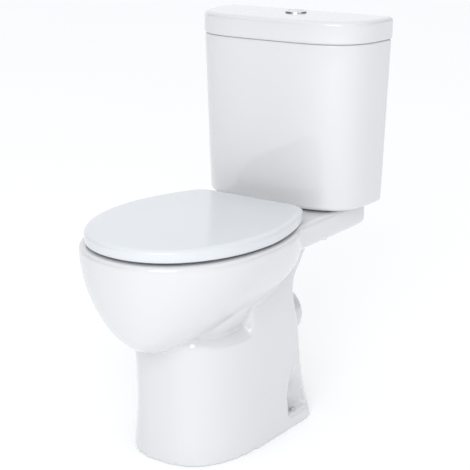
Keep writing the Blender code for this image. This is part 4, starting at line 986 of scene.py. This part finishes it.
def thread_tree(finish):
    """Turns of a thread: a ring of a small section, repeated up a line."""
    fields = [("Radius", "NodeSocketFloat", 0.01), ("Ridge", "NodeSocketFloat", 0.0006)]
    fields += [("Pitch", "NodeSocketFloat", 0.0018), ("Turns", "NodeSocketInt", 10)]
    tree, given, result = tree_with("thread_turns", fields)
    new, wire = tree.nodes.new, tree.links.new
    circle = new("GeometryNodeCurvePrimitiveCircle")
    section = new("GeometryNodeCurvePrimitiveCircle")
    tube = new("GeometryNodeCurveToMesh")
    circle.inputs["Resolution"].default_value, section.inputs["Resolution"].default_value = 40, 6
    line, step, copies = new("GeometryNodeMeshLine"), new("ShaderNodeCombineXYZ"), new(
        "GeometryNodeInstanceOnPoints"
    )
    real, coat = new("GeometryNodeRealizeInstances"), new("GeometryNodeSetMaterial")
    coat.inputs["Material"].default_value = finish
    wire(given.outputs["Radius"], circle.inputs["Radius"])
    wire(given.outputs["Ridge"], section.inputs["Radius"])
    wire(circle.outputs["Curve"], tube.inputs["Curve"])
    wire(section.outputs["Curve"], tube.inputs["Profile Curve"])
    wire(given.outputs["Turns"], line.inputs["Count"])
    wire(given.outputs["Pitch"], step.inputs["Z"])
    wire(step.outputs["Vector"], line.inputs["Offset"])
    wire(line.outputs["Mesh"], copies.inputs["Points"])
    wire(tube.outputs["Mesh"], copies.inputs["Instance"])
    wire(copies.outputs["Instances"], real.inputs["Geometry"])
    wire(real.outputs["Geometry"], coat.inputs["Geometry"])
    wire(coat.outputs["Geometry"], result.inputs["Geometry"])
    return tree


def rib_tree(finish):
    """Grip ribs: an upright bar, repeated round a circle."""
    fields = [("Radius", "NodeSocketFloat", 0.03), ("Rib", "NodeSocketFloat", 0.001)]
    fields += [("Height", "NodeSocketFloat", 0.01), ("Ribs", "NodeSocketInt", 24)]
    tree, given, result = tree_with("grip_ribs", fields)
    new, wire = tree.nodes.new, tree.links.new
    ring, bar, copies = new("GeometryNodeMeshCircle"), new("GeometryNodeMeshCylinder"), new(
        "GeometryNodeInstanceOnPoints"
    )
    bar.inputs["Vertices"].default_value = 10
    real, coat = new("GeometryNodeRealizeInstances"), new("GeometryNodeSetMaterial")
    coat.inputs["Material"].default_value = finish
    wire(given.outputs["Ribs"], ring.inputs["Vertices"])
    wire(given.outputs["Radius"], ring.inputs["Radius"])
    wire(given.outputs["Rib"], bar.inputs["Radius"])
    wire(given.outputs["Height"], bar.inputs["Depth"])
    wire(ring.outputs["Mesh"], copies.inputs["Points"])
    wire(bar.outputs["Mesh"], copies.inputs["Instance"])
    wire(copies.outputs["Instances"], real.inputs["Geometry"])
    wire(real.outputs["Geometry"], coat.inputs["Geometry"])
    wire(coat.outputs["Geometry"], result.inputs["Geometry"])
    return tree


def grow(name, tree, at, values, slot, body):
    """Runs a node tree with its named inputs, and keeps the result as a plain mesh in its place."""
    obj = link(name, bpy.data.meshes.new(name))
    grown = obj.modifiers.new("nodes", "NODES")
    grown.node_group = tree
    keys = {item.name: item.identifier for item in tree.interface.items_tree if item.in_out == "INPUT"}
    for label, value in values.items():
        grown[keys[label]] = value
    settle(obj)
    obj.data.transform(Matrix.Translation(at))
    return fit_out(shade(obj, 50.0), slot, body)


# ---------------------------------------------------------------- operators
class TOILET_OT_finishes(bpy.types.Operator):
    """Mixes every finish and coats the fittings that keep their own shape"""

    bl_idname = "toilet.finishes"
    bl_label = "Finishes"

    def execute(self, context):
        mix_finishes(context.scene.toilet_colours)
        for name, node in NODES.items():
            for index in range(max(1, len(node.data.materials))):
                if len(node.data.materials) <= index:
                    node.data.materials.append(None)
                node.material_slots[index].link = "OBJECT"
                node.material_slots[index].material = FINISH[SLOT_OF[name]]
        return {"FINISHED"}


class TOILET_OT_pan(bpy.types.Operator):
    """Casts the pan"""

    bl_idname = "toilet.pan"
    bl_label = "Pan"

    def execute(self, context):
        pan_piece(context.scene.toilet_shape)
        return {"FINISHED"}


class TOILET_OT_cistern(bpy.types.Operator):
    """Casts the cistern and its lid"""

    bl_idname = "toilet.cistern"
    bl_label = "Cistern and Lid"

    def execute(self, context):
        tank_piece()
        lid_piece()
        return {"FINISHED"}


class TOILET_OT_seat(bpy.types.Operator):
    """Moulds the seat ring and its cover"""

    bl_idname = "toilet.seat"
    bl_label = "Seat and Cover"

    def execute(self, context):
        ring_piece()
        cover_piece(context.scene.toilet_shape)
        return {"FINISHED"}


class TOILET_OT_buttons(bpy.types.Operator):
    """Makes the bezel and the two halves of the button"""

    bl_idname = "toilet.buttons"
    bl_label = "Buttons"

    def execute(self, context):
        dish = context.scene.toilet_shape.dish
        bezel_piece()
        button_piece("chrome_full_button", "full_flush_button", "full_button", -1, dish)
        button_piece("chrome_half_button", "half_flush_button", "half_button", 1, dish)
        return {"FINISHED"}


class TOILET_OT_repeats(bpy.types.Operator):
    """Threads on the tails and bolts, and grip ribs on the nuts"""

    bl_idname = "toilet.repeats"
    bl_label = "Threads and Ribs"

    def execute(self, context):
        pitch = context.scene.toilet_shape.pitch
        threads = thread_tree(FINISH["white_plastic"])
        steel_threads = thread_tree(FINISH["steel"])
        ribs = rib_tree(FINISH["white_plastic"])
        supply = (-0.112, out(0.070))
        values = {"Radius": 0.0100, "Ridge": 0.0004, "Pitch": pitch, "Turns": 34}
        grow("supply_thread", threads, (*supply, 0.3375), values, "white_plastic", "toilet")
        for side, mark in ((-1, "left"), (1, "right")):
            values = {"Radius": 0.0040, "Ridge": 0.0004, "Pitch": 0.00125, "Turns": 13}
            at = (side * 0.075, FLUSH_Y, 0.3297)
            grow(f"bolt_thread_{mark}", steel_threads, at, values, "steel", "toilet")
        low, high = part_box("bezel_nut")
        values = {"Radius": 0.0260, "Rib": 0.0011, "Height": high[2] - low[2] - 0.001, "Ribs": 24}
        grow(
            "bezel_nut_ribs", ribs, (0, FLUSH_Y, (low[2] + high[2]) / 2), values, "white_plastic",
            "tank_lid"
        )
        low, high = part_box("fill_valve_cap")
        values = {"Radius": 0.0178, "Rib": 0.0009, "Height": 0.0080, "Ribs": 30}
        grow("fill_cap_ribs", ribs, (*supply, low[2] + 0.0045), values, "white_plastic", "toilet")
        return {"FINISHED"}


class TOILET_OT_stage(bpy.types.Operator):
    """Pale floor and backdrop, soft studio light and the camera"""

    bl_idname = "toilet.stage"
    bl_label = "Stage"

    def execute(self, context):
        stage = context.scene.toilet_stage
        floor = block("floor", (-16, -16, -0.02), (16, 16, -0.0005))
        g = Graph("pale_floor")
        tone = g.noise(0.8, 2.0)
        body = g.mix(tone, (0.90, 0.90, 0.90), (0.93, 0.93, 0.93))
        finish = g.finish(base_color=body, roughness=0.9, emission_color=(1.0, 1.0, 1.0))
        g.shader.inputs["Emission Strength"].default_value = stage.glow
        floor.data.materials.append(finish)
        world = bpy.data.worlds.new("studio")
        g = Graph("studio", world)
        sideways = g.part(g.place, "X") * 0.812 + g.part(g.place, "Y") * 0.584
        height = g.part(g.place, "Z")
        flags = g.maths("ABSOLUTE", sideways).ramp(0.55, 0.98) * (1 - height.ramp(0.25, 0.80))
        front = g.maths("MAXIMUM", 0 - g.part(g.place, "Y"), 0.0).ramp(0.2, 1.0) * (
            1 - height.ramp(0.1, 0.6)
        )
        strength = stage.world - flags * (stage.world - stage.side) - front * stage.dim
        g.finish(color=(0.965, 0.982, 1.0), strength=strength)
        context.scene.world = world
        context.scene.view_settings.view_transform = "Standard"
        lamps = [
            ("key", stage.key, 2.2, (1.7, -3.3, 2.3), (0.0, 0.0, 0.4)),
            ("fill", stage.fill, 2.0, (-3.0, -2.2, 1.8), (0.0, 0.0, 0.4)),
        ]
        for name, watts, size, place, target in lamps:
            data = bpy.data.lights.new(name, "AREA")
            data.energy, data.shape, data.size = watts, "SQUARE", size
            lamp = bpy.data.objects.new(name, data)
            context.scene.collection.objects.link(lamp)
            aim = Vector(target) - Vector(place)
            lamp.matrix_world = Matrix.Translation(place) @ aim.to_track_quat("-Z", "Y").to_matrix().to_4x4(
                
            )
        data = bpy.data.cameras.new("camera")
        data.sensor_width, data.lens = 36.0, 98.76
        data.shift_x, data.shift_y = 0.0322, -0.0007
        data.clip_end = 50.0
        camera = bpy.data.objects.new("camera", data)
        context.scene.collection.objects.link(camera)
        place, target = Vector((1.3373, -1.8562, 1.0539)), Vector((0.0, 0.0025, 0.38466))
        aim = target - place
        camera.matrix_world = Matrix.Translation(place) @ aim.to_track_quat("-Z", "Y").to_matrix().to_4x4()
        context.scene.camera = camera
        return {"FINISHED"}


class TOILET_PT_panel(bpy.types.Panel):
    """The toilet's pieces, in the order they are made"""

    bl_label = "Toilet"
    bl_idname = "TOILET_PT_panel"
    bl_space_type = "VIEW_3D"
    bl_region_type = "UI"
    bl_category = "Toilet"

    def draw(self, context):
        column = self.layout.column()
        for group in (context.scene.toilet_shape, context.scene.toilet_colours, context.scene.toilet_stage):
            for field in group.__annotations__:
                column.prop(group, field)
        for operator in OPERATORS:
            column.operator(operator.bl_idname)


OPERATORS = (
    TOILET_OT_finishes,
    TOILET_OT_stage,
    TOILET_OT_pan,
    TOILET_OT_cistern,
    TOILET_OT_seat,
    TOILET_OT_buttons,
    TOILET_OT_repeats,
)
GROUPS = (("toilet_shape", ToiletShape), ("toilet_colours", ToiletColours), ("toilet_stage", ToiletStage))


def register():
    for name, group in GROUPS:
        bpy.utils.register_class(group)
        setattr(bpy.types.Scene, name, PointerProperty(type=group))
    for operator in OPERATORS:
        bpy.utils.register_class(operator)
    bpy.utils.register_class(TOILET_PT_panel)


def unregister():
    bpy.utils.unregister_class(TOILET_PT_panel)
    for operator in reversed(OPERATORS):
        bpy.utils.unregister_class(operator)
    for name, group in reversed(GROUPS):
        delattr(bpy.types.Scene, name)
        bpy.utils.unregister_class(group)


def main():
    register()
    for operator in OPERATORS:
        group, action = operator.bl_idname.split(".")
        getattr(getattr(bpy.ops, group), action)()


if __name__ == "__main__":
    main()
